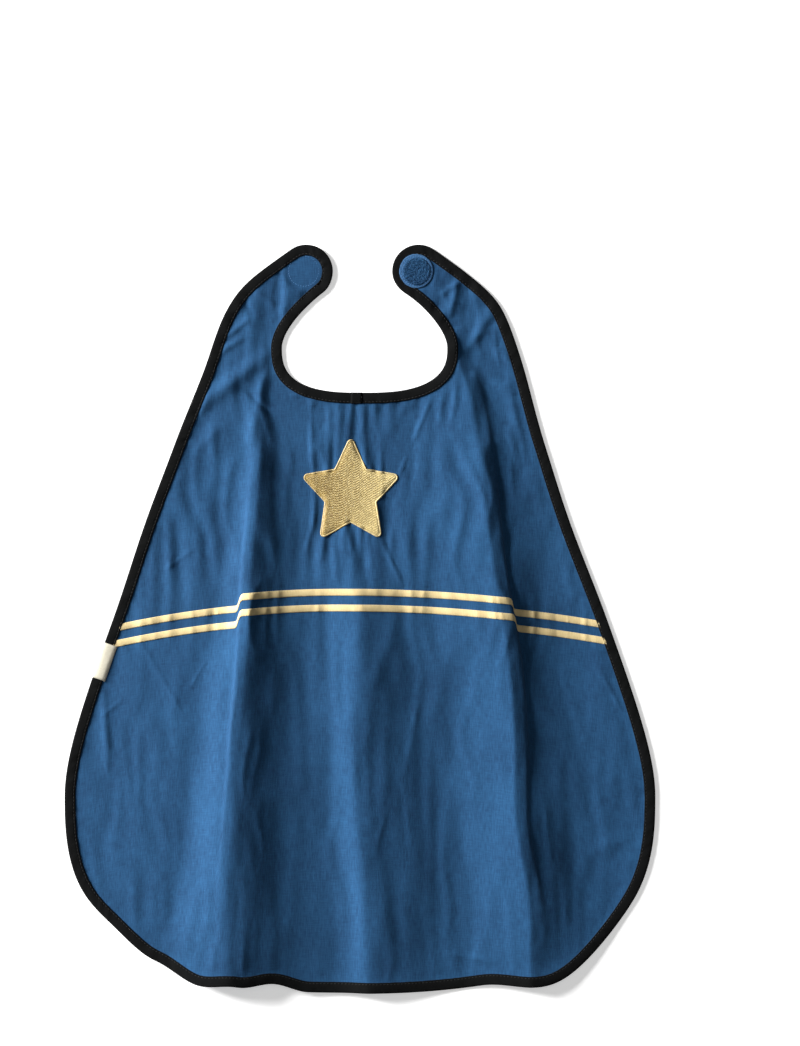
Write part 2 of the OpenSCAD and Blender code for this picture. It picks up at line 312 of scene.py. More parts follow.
# %% [markdown]
# ## Small creases and puckers
#
# Over the large folds lies the finer relief of washed cotton: gathers where the binding and the
# embroidery pull the cloth in, slow ripples along the grain, and a few creases. Ripples come from
# smooth noise on a lattice with a fixed seed, so every run gives the same cloth.

# %% Smooth noise
def lattice_noise(seed, size=64):
    return np.random.default_rng(seed).uniform(-1, 1, (size, size))


def noise(x, y, seed):
    """Smooth noise between -1 and 1, one bump per unit of x and y."""
    grid = lattice_noise(seed)
    n = len(grid)
    i, j = np.floor(x).astype(int), np.floor(y).astype(int)
    u, v = smooth(x - i), smooth(y - j)
    g = lambda di, dj: grid[(i + di) % n, (j + dj) % n]
    return (g(0, 0) * (1 - u) * (1 - v) + g(1, 0) * u * (1 - v) + g(0, 1) * (1 - u) * v + g(1, 1) * u * v)


def nearest(points, line):
    """For each point, the index of the nearest point of a line and its distance."""
    index, distance = np.zeros(len(points), int), np.zeros(len(points))
    for start in range(0, len(points), 4000):
        block = points[start:start + 4000]
        gap = np.hypot(block[:, None, 0] - line[None, :, 0], block[:, None, 1] - line[None, :, 1])
        index[start:start + 4000] = gap.argmin(1)
        distance[start:start + 4000] = gap.min(1)
    return index, distance


# %% The star's outline, which the puckers round it need
STAR_MIDDLE = np.array([-8.0, 109.5])
STAR_R, STAR_INNER_R, STAR_ROUND = 48.5, 24.6, 3.4


# The real one is a little taller than a true five-pointed star
STAR_STRETCH = np.array([0.97, 1.055])


def star_outline(margin=0.0, step=1.0):
    """The star's edge moved inwards by a margin, with its points rounded off."""
    flank = math.atan2(STAR_INNER_R * math.sin(math.radians(36)),
                       STAR_R - STAR_INNER_R * math.cos(math.radians(36)))
    tip_r = STAR_R - margin / math.sin(flank)
    inner_r = STAR_INNER_R * tip_r / STAR_R
    radius = max(0.5, STAR_ROUND - margin)
    points = []
    for i in range(10):
        turn = math.radians(90 + 36 * i)
        if i % 2:
            points.append(inner_r * np.array([math.cos(turn), math.sin(turn)]))
            continue
        centre_r = tip_r - radius / math.sin(flank)
        for k in np.linspace(-1, 1, 9):
            facing = turn + k * (math.pi / 2 - flank)
            points.append(centre_r * np.array([math.cos(turn), math.sin(turn)])
                          + radius * np.array([math.cos(facing), math.sin(facing)]))
    return even(np.array(points) * STAR_STRETCH, step) + STAR_MIDDLE


star_edge = star_outline()
print("star", (star_edge.max(0) - star_edge.min(0)).round(1), "mm")

# %% Puckers, ripples and creases
# Creases on the table: start, end, width across, height
CREASES = [
    ((-78, 233), (-150, 176), 7.0, 2.2), ((-84, 212), (-95, 150), 4.5, 1.4),
    ((-50, 196), (-50, 124), 3.6, -2.6), ((-42, 192), (-44, 130), 3.0, 1.0),
    ((-4, 191), (-4, 158), 2.2, -1.5), ((4, 191), (2, 160), 2.6, 0.7),
    ((62, 192), (32, 120), 1.5, 0.9), ((17, 72), (38, 26), 1.8, 0.9), ((2, 62), (8, 24), 4.0, -0.5),
    ((-22, 62), (-20, 30), 3.0, 0.8), ((50, -74), (39, -140), 3.0, 0.5), ((39, -140), (44, -200), 3.0, 0.35),
    ((26, -158), (12, -206), 2.4, 0.3), ((34, 10), (12, -60), 6.0, 0.9), ((-192, -19), (-151, -88), 1.6,
                                                                          0.5),
    ((-134, -36), (-148, -62), 1.6, 0.5), ((-224, -60), (-219, -140), 3.2, 0.9),
    ((-218, -12), (-200, -30), 1.6, 0.4), ((-225, -85), (-206, -70), 1.8, 0.4),
    ((-172, 42), (-142, 62), 1.8, 0.4), ((-128, 170), (-126, 112), 5.0, 1.2), ((-156, 120), (-138, 76), 5.0,
                                                                               -1.0),
    ((209, -45), (232, -88), 2.0, 0.5), ((150, 225), (128, 262), 5.0, -1.4), ((92, 232), (118, 272), 4.5,
                                                                              1.3),
    ((120, 236), (142, 214), 4.0, 1.2), ((140, 130), (128, 168), 4.0, 1.0), ((200, -205), (236, -190), 7.0,
                                                                             0.8),
    ((-150, 215), (-100, 246), 3.0, 1.1), ((-100, 200), (-76, 176), 2.0, -1.2), ((128, 205), (104, 246),
                                                                                 3.4, -1.1),
    ((96, 214), (136, 196), 2.6, 1.0), ((-118, 244), (-96, 262), 2.4, 1.0),
    ((-60, 262), (-92, 286), 3.0, 0.9), ((-92, 262), (-104, 280), 3.4, -0.8), ((78, 262), (84, 292), 2.4,
                                                                               1.0),
    ((70, 282), (96, 300), 2.2, 0.8), ((74, -291), (120, -300), 3.0, 0.8), ((-138, -230), (-152, -292), 6.0,
                                                                            1.0),
]


def crease(x, y, start, end, width, height):
    start, end = np.array(start, float), np.array(end, float)
    line = end - start
    t = np.clip(((x - start[0]) * line[0] + (y - start[1]) * line[1]) / (line @ line), 0, 1)
    off = np.hypot(x - start[0] - t * line[0], y - start[1] - t * line[1])
    ends = np.sqrt(np.clip(4 * t * (1 - t), 0, 1))
    return height * ends * np.exp(-(off / width) ** 2)


def gathers(run, away, seed, pitch, reach, height):
    """Short pleats square to a seam: run is the place along it, away the distance from it."""
    wave = noise(run / pitch, np.full_like(run, 0.5), seed)
    wave = wave + 0.5 * noise(run / (0.53 * pitch), np.full_like(run, 7.5), seed + 1)
    strength = 0.65 + 0.5 * noise(run / (6 * pitch), np.full_like(run, 3.5), seed + 2)
    length = reach * (1 + 0.5 * noise(run / (1.7 * pitch), np.full_like(run, 5.5), seed + 3))
    return height * wave * strength * np.exp(-np.maximum(away, 0) / length)


def relief(x, y):
    """Height of the fine relief at places on the table."""
    place = np.stack([x, y], 1)
    at, away = nearest(place, edge)
    away = away - BINDING_W
    run = at * EDGE_STEP
    neck = smooth((edge[at, 1] - 150) / 60) * smooth((150 - np.abs(edge[at, 0])) / 60)
    hem = smooth((-edge[at, 1] - 240) / 50)
    z = gathers(run, away, 11, 6.5, 9.0, 0.85) * neck
    z += gathers(run, away, 21, 8.0, 6.0, 0.55) * (1 - neck) * (1 - 0.4 * hem)
    z += gathers(run, away, 61, 11.0, 15.0, 0.8) * smooth((y - 190) / 40)
    star_at, star_away = nearest(place, star_edge)
    pull = smooth((away + 2) / 8)
    tight = np.exp(-np.maximum(star_away - 1, 0) / 12)
    z += 1.5 * tight * pull * noise(x / 4.6, y / 30 + 9, 31)
    below_neck = np.exp(-np.maximum(190 - y, 0) / 34) * smooth((84 - np.abs(x + 4)) / 30)
    z += 1.15 * below_neck * pull * noise(x / 6.5, y / 70 + 3, 33)
    z += 0.8 * noise(x / 24 + 0.3 * noise(x / 60, y / 60, 39), y / 70, 41) * smooth(away / 25)
    dry = 0.45 + 0.55 * smooth((y + 60) / 150)
    ridge = 1 - 2 * np.abs(noise(x / 13 + 0.8 * noise(x / 45, y / 50, 42), y / 62, 43))
    z += 0.95 * ridge * dry * smooth(away / 14)
    z += 0.5 * dry * noise(x / 8 + y / 90, y / 34, 45) * smooth(away / 14)
    z += 0.11 * noise(x / 4.4 - y / 60, y / 16, 47) * smooth(away / 8)
    for start, end, width, height in CREASES:
        z += crease(x, y, start, end, width, height) * smooth((away + 1) / 5)
    inside_star = np.hypot(x - STAR_MIDDLE[0], y - STAR_MIDDLE[1]) < STAR_R
    on_star = in_polygon(place, star_edge) & inside_star
    z = np.where(on_star, z * np.exp(-star_away / 2.5), z)
    from_tab = np.hypot(np.abs(x) - TAB[0], y - TAB[1])
    z *= 1 - 0.95 * smooth((DISC_R + 3 - from_tab) / 3)
    return z * smooth((away + BINDING_W) / BINDING_W), away


def in_polygon(points, polygon):
    """Which points lie inside a closed line."""
    inside = np.zeros(len(points), bool)
    previous = polygon[-1]
    for corner in polygon:
        crosses = (corner[1] > points[:, 1]) != (previous[1] > points[:, 1])
        if crosses.any():
            slant = (previous[0] - corner[0]) / (previous[1] - corner[1] + 1e-12)
            inside ^= crosses & (points[:, 0] < corner[0] + slant * (points[:, 1] - corner[1]))
        previous = corner
    return inside


# %% The whole surface: middle of the cloth's thickness
REST_AT_EDGE = (CLOTH_LOW + CLOTH_HIGH) / 2
REST_INSIDE = 0.5
LABEL_FROM, LABEL_TO = -19.5, -51.0


def surface(a, b):
    """Place on the table, in millimetres, of a place on the cut cloth."""
    x, y, z = lay(a, b)
    fine, away = relief(x, y)
    inside = REST_INSIDE + (REST_AT_EDGE - REST_INSIDE) * smooth((y - 262) / 20)
    at_edge = REST_AT_EDGE + 0.3 * bump(y, (LABEL_FROM + LABEL_TO) / 2, 40) * (x < 0)
    rest = inside + (at_edge - inside) * np.exp(-np.maximum(away, 0) / 5)
    return np.stack([x, y, np.maximum(z + fine + rest, 0.35)], 1)


# %% [markdown]
# ## The cloth's mesh
#
# A grid would leave a jagged edge and waste faces on the flat parts. Here points lie on a triangular
# lattice that is twice as fine near seams, creases and steep walls, and a constrained Delaunay
# triangulation joins them up to the exact edge. The mesh is made once for the whole cape and then
# parted at the fold lines, so the parts share their edge points and normals and the joins don't show.

# %% Points on the cut cloth
COARSE, FINE = 3.6, 2.0


def lattice(step, low, high):
    rows = np.arange(low[1], high[1], step * math.sqrt(3) / 2)
    points = [np.stack([np.arange(low[0] + (r % 2) * step / 2, high[0], step),
                        np.full(len(np.arange(low[0] + (r % 2) * step / 2, high[0], step)), y)], 1)
              for r, y in enumerate(rows)]
    return np.concatenate(points)


def wants_fine(points):
    """Where the cloth needs its finer mesh."""
    x, y, _z = lay(points[:, 0], points[:, 1])
    place = np.stack([x, y], 1)
    at, away = nearest(place, edge)
    by_neck = (edge[at, 1] > 150) & (away < 38)
    star_away = nearest(place, star_edge)[1]
    places = fold_places(points[:, 1])
    walls = ((points[:, 0] > places[1] - 20) & (points[:, 0] < places[1] + 28)) | (
        (points[:, 0] > places[5] - 4) & (points[:, 0] < places[5] + 34))
    creased = np.zeros(len(points), bool)
    for start, end, width, _height in CREASES:
        creased |= (crease(x, y, start, end, width * 1.3 + 1, 1.0) > 0.25) & (width < 4.5)
    return by_neck | (away < 17) | (star_away < 20) | (y > 200) | (walls & (points[:, 1] < 195)) | creased


low, high = cloth_edge.min(0) - 1, cloth_edge.max(0) + 1
coarse, fine = lattice(COARSE, low, high), lattice(FINE, low, high)
rows_fine = wants_fine(fine)
lattice_points = np.concatenate([coarse[~wants_fine(coarse)], fine[rows_fine]])
lattice_points = lattice_points[in_polygon(lattice_points, cloth_edge)]
clear = nearest(lattice_points, cloth_edge)[1] > 0.55 * FINE
lattice_points = lattice_points[clear]
print(len(lattice_points), "points inside", len(cloth_edge), "on the edge")

# %% Join them up
flat = np.concatenate([cloth_edge, lattice_points])
rim_loop = list(range(len(cloth_edge)))
found = delaunay_2d_cdt([Vector(p) for p in flat.tolist()], [], [rim_loop], 1, 1e-4)
flat = np.array([tuple(v) for v in found[0]])
triangles = np.array([f for f in found[2] if len(f) == 3])
middle_xyz = surface(flat[:, 0], flat[:, 1])
print(len(flat), "points,", len(triangles), "triangles,", len(found[2]) - len(triangles), "others")


# %% Part the cloth at the fold lines
joints = {j["name"]: j for j in frame["joints"]}


def joint_point(name):
    return np.array(joints[name]["pos_m"][:2]) / MM


SHOULDER_LINE = {side: (joint_point(side + "_shoulder_fold"), np.array([sign * 0.5, 0.866025]))
                 for side, sign in (("left", -1), ("right", 1))}
TAB_LINE = {side: (joint_point(side + "_tab_bend"), np.array([sign * strap[0], -strap[1]]))
            for side, sign in (("left", 1), ("right", -1))}


def past(place, line):
    """How far places lie past a fold line, towards the strap's end."""
    return (place - line[0]) @ line[1]


def body_at(place):
    """The body that each place on the table belongs to."""
    body = np.full(len(place), "cape", dtype="<U16")
    for side, sign in (("left", -1), ("right", 1)):
        here = (place[:, 0] * sign > 0) & (past(place, SHOULDER_LINE[side]) > 0) & (place[:,
                                                                                          1] > BELOW_SHOULDERS_Y)
        body[here] = side + "_shoulder"
        body[here & (past(place, TAB_LINE[side]) > 0)] = side + "_tab"
    return body


BODIES = ("cape", "left_shoulder", "left_tab", "right_shoulder", "right_tab")


def vertex_normals(points, faces):
    a, b, c = (points[faces[:, k]] for k in range(3))
    face = np.cross(b - a, c - a)
    normals = np.zeros_like(points)
    for k in range(3):
        np.add.at(normals, faces[:, k], face)
    return normals / np.maximum(np.linalg.norm(normals, axis=1), 1e-12)[:, None]


def make_mesh(name, points, faces, uv=None, normals=None, edges=(), layers=None):
    """A mesh object from places in millimetres. layers are named directions, one per point."""
    mesh = bpy.data.meshes.new(name)
    mesh.from_pydata((np.asarray(points) * MM).tolist(), edges, [list(map(int, f)) for f in faces])
    mesh.shade_smooth()
    if uv is not None:
        layer = mesh.uv_layers.new(name="cut")
        corner = np.zeros(len(mesh.loops), int)
        mesh.loops.foreach_get("vertex_index", corner)
        layer.data.foreach_set("uv", (np.asarray(uv)[corner] * MM).ravel())
    for key, values in (layers or {}).items():
        mesh.attributes.new(key, "FLOAT_VECTOR", "POINT").data.foreach_set("vector", np.ravel(values))
    if normals is not None:
        mesh.normals_split_custom_set_from_vertices(np.asarray(normals).tolist())
    obj = bpy.data.objects.new(name, mesh)
    bpy.context.scene.collection.objects.link(obj)
    return obj


# %% Give the cloth its thickness and make one object for each body
HALF_CLOTH = 0.3
cloth_normals = vertex_normals(middle_xyz, triangles)
if cloth_normals[:, 2].mean() < 0:
    triangles = triangles[:, ::-1]
    cloth_normals = -cloth_normals
face_body = body_at(middle_xyz[triangles].mean(1)[:, :2])
cloth = {}
flat_sizes = {}
for body in BODIES:
    mine = triangles[face_body == body]
    used, index = np.unique(mine, return_inverse=True)
    index = index.reshape(mine.shape)
    middle, normal = middle_xyz[used], cloth_normals[used]
    n = len(used)
    sides = np.concatenate([index[:, [0, 1]], index[:, [1, 2]], index[:, [2, 0]]])
    key = {tuple(s) for s in sides.tolist()}
    rim = [s for s in key if (s[1], s[0]) not in key]
    faces = index.tolist() + (index[:, ::-1] + n).tolist()
    faces += [(j, i, i + n, j + n) for i, j in rim]
    points = np.concatenate([middle + normal * HALF_CLOTH, middle - normal * HALF_CLOTH])
    cloth[body] = make_mesh(body + "_cloth", points, faces, np.concatenate([flat[used], flat[used]]),
                            np.concatenate([normal, -normal]))
    a, b, c = (flat[mine[:, k]] for k in range(3))
    area = 0.5 * np.abs(np.cross(b - a, c - a)).sum()
    size = flat[used].max(0) - flat[used].min(0)
    flat_sizes[body] = (size[0] * MM, size[1] * MM, area * MM * MM)
    print(f"{body}: {len(faces)} faces, {size[0]:.0f} x {size[1]:.0f} mm, {area / 100:.0f} square cm")


# %% [markdown]
# ## The binding
#
# Bias binding is a tape folded over the raw edge and stitched through. Its section is a flat loop
# with a rounded outer edge, and a shallow groove where the stitches pull it down. The section is
# swept along the edge, standing on the cloth's own surface, so it rises and dips with the folds.

# %% Places on and above the cloth
def frame_on(a, b, step=0.6):
    """Place and upward direction of the cloth's middle at places on the cut cloth."""
    a, b = np.asarray(a, float), np.asarray(b, float)
    shifts = [(0, 0), (step, 0), (0, step), (-step, 0), (0, -step)]
    p = surface(np.concatenate([a + i for i, _j in shifts]), np.concatenate([b + j for _i, j in shifts]))
    p = p.reshape(len(shifts), -1, 3)
    up = np.cross(p[1] - p[3], p[2] - p[4])
    return p[0], up / np.linalg.norm(up, axis=1)[:, None]


def frame_at(plan):
    """The same at places on the table."""
    return frame_on(*unlay(plan[:, 0], plan[:, 1]))


# The section: place in from the outer edge, height from the cloth's middle
TOP_SECTION = [(TAPE_W, 0.42), (9.3, 0.74), (8.8, 0.88), (8.4, 0.82), (8.0, 0.64), (7.6, 0.84), (6.4, 1.0),
               (4.2, 1.06), (2.2, 1.04), (0.9, 0.92), (0.3, 0.62), (0.02, 0.2)]
section = TOP_SECTION + [(s, -0.98 * h) for s, h in TOP_SECTION[::-1]]
section = np.array(section)
print("section of", len(section), "points")

# %% Sweep it
stations = len(edge)
run_mm = np.arange(stations) * EDGE_STEP


def sweep(section, rows, grow=0.0, ripple=1.0):
    """The section at rows of the edge: points (rows, section, 3) in millimetres."""
    rows = np.asarray(rows) % stations
    spread = np.linspace(section[:, 0].min(), section[:, 0].max(), 6)
    plan = edge[rows, None, :] + edge_in[rows, None, :] * spread[None, :, None]
    place, up = frame_at(plan.reshape(-1, 2))
    place, up = place.reshape(len(rows), -1, 3), up.reshape(len(rows), -1, 3)
    points = np.zeros((len(rows), len(section), 3))
    for k, (s, h) in enumerate(section):
        at = np.interp(s, spread, np.arange(len(spread)))
        low = min(int(at), len(spread) - 2)
        mix = at - low
        drag = noise(run_mm[rows] / 3.4 + s * 0.22, np.full(len(rows), 2.5 + s / 6), 71)
        lift = h + np.sign(h) * (grow + ripple * 0.16 * drag * smooth(s / 2) * (h > 0))
        points[:, k] = (place[:, low] * (1 - mix) + place[:, low + 1] * mix
                        + (up[:, low] * (1 - mix) + up[:, low + 1] * mix) * lift[:, None])
    points[..., 2] = np.maximum(points[..., 2], 0.04)
    return points


def ribbon_faces(rows, columns):
    """Quads of a tube of closed sections, and its two caps."""
    r, c = np.meshgrid(np.arange(rows - 1), np.arange(columns), indexing="ij")
    nxt = (c + 1) % columns
    quads = np.stack([r * columns + c, r * columns + nxt, (r + 1) * columns + nxt, (r + 1) * columns + c],
                     -1).reshape(-1, 4)
    return quads.tolist() + [list(range(columns))[::-1], [(rows - 1) * columns + k for k in range(columns)]]


def tube_normals(points):
    along = np.roll(points, -1, 0) - np.roll(points, 1, 0)
    round_it = np.roll(points, -1, 1) - np.roll(points, 1, 1)
    normals = np.cross(round_it, along)
    return normals / np.maximum(np.linalg.norm(normals, axis=2), 1e-9)[..., None]


binding_points = sweep(section, np.arange(stations))
binding_normals = tube_normals(binding_points)
outwards = (binding_normals[:, 0, 2].mean() > 0)
print("binding normals face", "out" if outwards else "in")
across = edge[:, None, :] + edge_in[:, None, :] * np.array([0, 4.7, TAPE_W])[None, :, None]
station_body = np.full(stations, "cape", dtype="<U16")
for side, sign in (("left", -1), ("right", 1)):
    here = (edge[:, 0] * sign > 0) & (edge[:, 1] > BELOW_SHOULDERS_Y)
    reach = past(across.reshape(-1, 2), SHOULDER_LINE[side]).reshape(stations, -1).max(1)
    # A tab's stations are also past the shoulder line, or the middle of the neck would count as a tab
    here &= reach > 0.5
    station_body[here] = side + "_shoulder"
    reach = past(across.reshape(-1, 2), TAB_LINE[side]).reshape(stations, -1).max(1)
    station_body[here & (reach > 0.5)] = side + "_tab"


def runs_of(body):
    """Unbroken runs of stations that belong to a body."""
    mine = station_body == body
    starts = [i for i in range(stations) if mine[i] and not mine[i - 1]]
    found = []
    for start in starts:
        stop = start
        while mine[(stop + 1) % stations]:
            stop += 1
        found.append(np.arange(start, stop + 2))
    return found


binding = {}
section_run = np.concatenate([[0], np.cumsum(np.linalg.norm(np.diff(section, axis=0), axis=1))])
for body in BODIES:
    points, faces, uv, normals = [], [], [], []
    for rows in runs_of(body):
        start = sum(len(p) for p in points)
        tube = binding_points[rows % stations]
        points.append(tube.reshape(-1, 3))
        normals.append(binding_normals[rows % stations].reshape(-1, 3))
        grid = np.stack(np.meshgrid(rows * EDGE_STEP, section_run, indexing="ij"), -1)
        uv.append(grid.reshape(-1, 2))
        faces += [[v + start for v in f] for f in ribbon_faces(len(rows), len(section))]
    binding[body] = make_mesh(body + "_bias_tape", np.concatenate(points), faces, np.concatenate(uv),
                              np.concatenate(normals))
    print(body, "binding:", len(faces), "faces in", len(runs_of(body)), "runs")


# %% [markdown]
# ## Finishes
#
# Every finish here is textile, so one function makes the woven ones from their real numbers: two
# close colours, the spacing of the yarns, and the length of the slubs, the thick places in a cotton
# yarn. The pattern reads the cut cloth's own coordinates, so it bends and turns with the folds.

# %% Helpers for materials
def hex_colour(text):
    """The linear colour of an sRGB hex colour."""
    channels = [int(text[i:i + 2], 16) / 255 for i in (0, 2, 4)]
    return (*[c / 12.92 if c <= 0.04045 else ((c + 0.055) / 1.055) ** 2.4 for c in channels], 1.0)


def add(tree, kind, settings=None, inputs=None):
    """A new node with its settings. An input is a value, or the socket that feeds it."""
    node = tree.nodes.new(kind)
    for key, value in (settings or {}).items():
        setattr(node, key, value)
    for key, value in (inputs or {}).items():
        if isinstance(value, bpy.types.NodeSocket):
            tree.links.new(value, node.inputs[key])
        else:
            node.inputs[key].default_value = value
    return node


def calc(tree, operation, inputs):
    """A sum on one or more values."""
    return add(tree, "ShaderNodeMath", {"operation": operation}, inputs).outputs[0]


def new_material(name, **shader):
    """A material with a Principled shader whose plain values are set on its own sockets."""
    material = bpy.data.materials.new(name)
    material.use_nodes = True
    material.node_tree.nodes.clear()
    tree = material.node_tree
    values = {key.replace("_", " ").title().replace("Ior", "IOR"): value for key, value in shader.items()}
    principled = add(tree, "ShaderNodeBsdfPrincipled", None, values)
    add(tree, "ShaderNodeOutputMaterial", None, {"Surface": principled.outputs[0]})
    return material, tree, principled


WAVE_PERIOD = 2 * math.pi / 20


def woven(name, dark, light, yarn_mm, slub_mm, bump_mm, mottle=0.5, slope=0.0, **shader):
    """A plain weave: yarn_mm between yarns, slub_mm the size of slubs, slope the turn of the weave."""
    material, tree, principled = new_material(name, **shader)
    cut = add(tree, "ShaderNodeUVMap", {"uv_map": "cut"}).outputs[0]
    turned = add(tree, "ShaderNodeMapping", None, {0: cut, "Rotation": (0, 0, slope)}).outputs[0]
    yarns = []
    for direction in ("X", "Y"):
        wave = add(tree, "ShaderNodeTexWave", {"wave_type": "BANDS", "bands_direction": direction},
                   {0: turned, "Scale": WAVE_PERIOD / (yarn_mm * MM), "Distortion": 1.2, "Detail": 1.0,
                    "Detail Scale": 0.4})
        yarns.append(wave.outputs["Fac"])
    weave = calc(tree, "MULTIPLY", {0: yarns[0], 1: yarns[1]})
    slubs = []
    for width, length in (slub_mm, slub_mm[::-1]):
        stretched = add(tree, "ShaderNodeMapping", None,
                        {0: turned, "Scale": (1 / (width * MM), 1 / (length * MM), 1)}).outputs[0]
        slubs.append(add(tree, "ShaderNodeTexNoise", {"noise_dimensions": "2D"},
                         {0: stretched, "Scale": 1.0, "Detail": 2.0}).outputs["Fac"])
    washed = add(tree, "ShaderNodeTexNoise", {"noise_dimensions": "2D"},
                 {0: turned, "Scale": 1 / (45 * MM), "Detail": 2.0, "Roughness": 0.5}).outputs["Fac"]
    slub = calc(tree, "MULTIPLY_ADD", {0: slubs[1], 1: 0.6, 2: slubs[0]})
    tone = calc(tree, "MULTIPLY_ADD", {0: washed, 1: mottle, 2: slub})
    tone = calc(tree, "MULTIPLY_ADD", {0: weave, 1: 0.35, 2: tone})
    middle = 0.8 + 0.5 * mottle + 0.09
    share = add(tree, "ShaderNodeMapRange", None, {0: tone, 1: middle - 0.34, 2: middle + 0.34}).outputs[0]
    colour = add(tree, "ShaderNodeMix", {"data_type": "RGBA"},
                 {0: share, 6: hex_colour(dark), 7: hex_colour(light)}).outputs[2]
    tree.links.new(colour, principled.inputs["Base Color"])
    height = calc(tree, "MULTIPLY_ADD", {0: slub, 1: 0.8, 2: weave})
    bumped = add(tree, "ShaderNodeBump", None, {"Strength": 1.0, "Distance": bump_mm * MM, "Height": height})
    tree.links.new(bumped.outputs[0], principled.inputs["Normal"])
    return material


# %% The cotton of the cape
# Cotton poplin, piece-dyed and washed: matt, with faint slubs both ways and paler rubbed places.
# Its yarns lie 0.3 mm apart, too fine to show, so they are drawn 0.9 mm apart.
cotton = woven("washed cotton poplin", "0D375B", "1E4F78", 0.9, (0.8, 9.0), 0.12, mottle=0.45,
               roughness=0.86, sheen_weight=0.05, sheen_roughness=0.45, specular_ior_level=0.25)

# %% The cotton tape of the binding
# Bias tape: the same weave turned by 45 degrees, dyed black, which gives a dull edge with no shine.
bias_tape = woven("black cotton bias tape", "020303", "060708", 0.8, (0.7, 4.0), 0.08,
                  slope=math.radians(45),
                  roughness=0.95, specular_ior_level=0.15)


# %% [markdown]
# ## Stitches
#
# A sewing machine lays the same stitch thousands of times, so Geometry Nodes lay it here. The tree
# takes a line on the cloth, spaces points along it and puts a small stretched ball on each, with its
# long side along the line. Turned by a quarter, the same tree makes the satin rim of the star.

# %% Helpers for node trees
def new_tree(name, *inputs):
    """A geometry tree with named inputs, and its input and output nodes."""
    tree = bpy.data.node_groups.new(name, "GeometryNodeTree")
    tree.interface.new_socket("Geometry", in_out="INPUT", socket_type="NodeSocketGeometry")
    for label, kind in inputs:
        tree.interface.new_socket(label, in_out="INPUT", socket_type="NodeSocket" + kind)
    tree.interface.new_socket("Geometry", in_out="OUTPUT", socket_type="NodeSocketGeometry")
    return tree, add(tree, "NodeGroupInput").outputs, add(tree, "NodeGroupOutput")


def scatter(tree, given, result, points, shape, rotation, scale):
    """Puts a shape on every point, stores a random tone for each, and ends the tree."""
    placed = add(tree, "GeometryNodeInstanceOnPoints", None,
                 {"Points": points, "Instance": shape, "Rotation": rotation, "Scale": scale}).outputs[0]
    tone = add(tree, "FunctionNodeRandomValue", {"data_type": "FLOAT"}, {"Seed": given["Seed"]}).outputs[1]
    stored = add(tree, "GeometryNodeStoreNamedAttribute", {"data_type": "FLOAT", "domain": "INSTANCE"},
                 {"Geometry": placed, "Name": "tone", "Value": tone}).outputs[0]
    real = add(tree, "GeometryNodeRealizeInstances", None, {0: stored}).outputs[0]
    rounded = add(tree, "GeometryNodeSetShadeSmooth", None, {0: real}).outputs[0]
    coated = add(tree, "GeometryNodeSetMaterial", None, {"Geometry": rounded, "Material": given["Thread"]})
    tree.links.new(coated.outputs[0], result.inputs[0])


def grown(name, source, tree, **values):
    """Runs a tree on an object and keeps what it makes as a plain mesh object."""
    modifier = source.modifiers.new(tree.name, "NODES")
    modifier.node_group = tree
    for item in tree.interface.items_tree:
        if item.in_out == "INPUT" and item.name in values:
            modifier[item.identifier] = values[item.name]
    graph = bpy.context.evaluated_depsgraph_get()
    mesh = bpy.data.meshes.new_from_object(source.evaluated_get(graph), depsgraph=graph)
    obj = bpy.data.objects.new(name, mesh)
    bpy.context.scene.collection.objects.link(obj)
    bpy.data.objects.remove(source)
    print(name, len(mesh.polygons), "faces")
    return obj


# %% The tree for a row of stitches
row_tree, given, result = new_tree(
    "stitches along a line", ("Spacing", "Float"), ("Length", "Float"), ("Width", "Float"),
    ("Height", "Float"), ("Turn", "Float"), ("Lean", "Float"), ("Seed", "Int"), ("Thread", "Material"))
line = add(row_tree, "GeometryNodeMeshToCurve", None, {"Mesh": given["Geometry"]}).outputs[0]
spaced = add(row_tree, "GeometryNodeResampleCurve", {"mode": "LENGTH"},
             {"Curve": line, "Length": given["Spacing"]}).outputs[0]
up = add(row_tree, "GeometryNodeInputNamedAttribute", {"data_type": "FLOAT_VECTOR"},
         {"Name": "up"}).outputs[0]
tangent = add(row_tree, "GeometryNodeInputTangent").outputs[0]
facing = add(row_tree, "FunctionNodeAxesToRotation", {"primary_axis": "Z", "secondary_axis": "X"},
             {0: up, 1: tangent}).outputs[0]
wobble = add(row_tree, "FunctionNodeRandomValue", {"data_type": "FLOAT"},
             {2: -1.0, 3: 1.0, "Seed": given["Seed"]}).outputs[1]
turn = calc(row_tree, "MULTIPLY_ADD", {0: wobble, 1: given["Lean"], 2: given["Turn"]})
turn = add(row_tree, "ShaderNodeCombineXYZ", None, {"Z": turn}).outputs[0]
turn = add(row_tree, "FunctionNodeEulerToRotation", None, {0: turn}).outputs[0]
facing = add(row_tree, "FunctionNodeRotateRotation", {"rotation_space": "LOCAL"},
             {0: facing, 1: turn}).outputs[0]
ball = add(row_tree, "GeometryNodeMeshIcoSphere", None, {"Radius": 0.5, "Subdivisions": 1}).outputs[0]
size = add(row_tree, "ShaderNodeCombineXYZ", None,
           {"X": given["Length"], "Y": given["Width"], "Z": given["Height"]}).outputs[0]
scatter(row_tree, given, result, spaced, ball, facing, size)


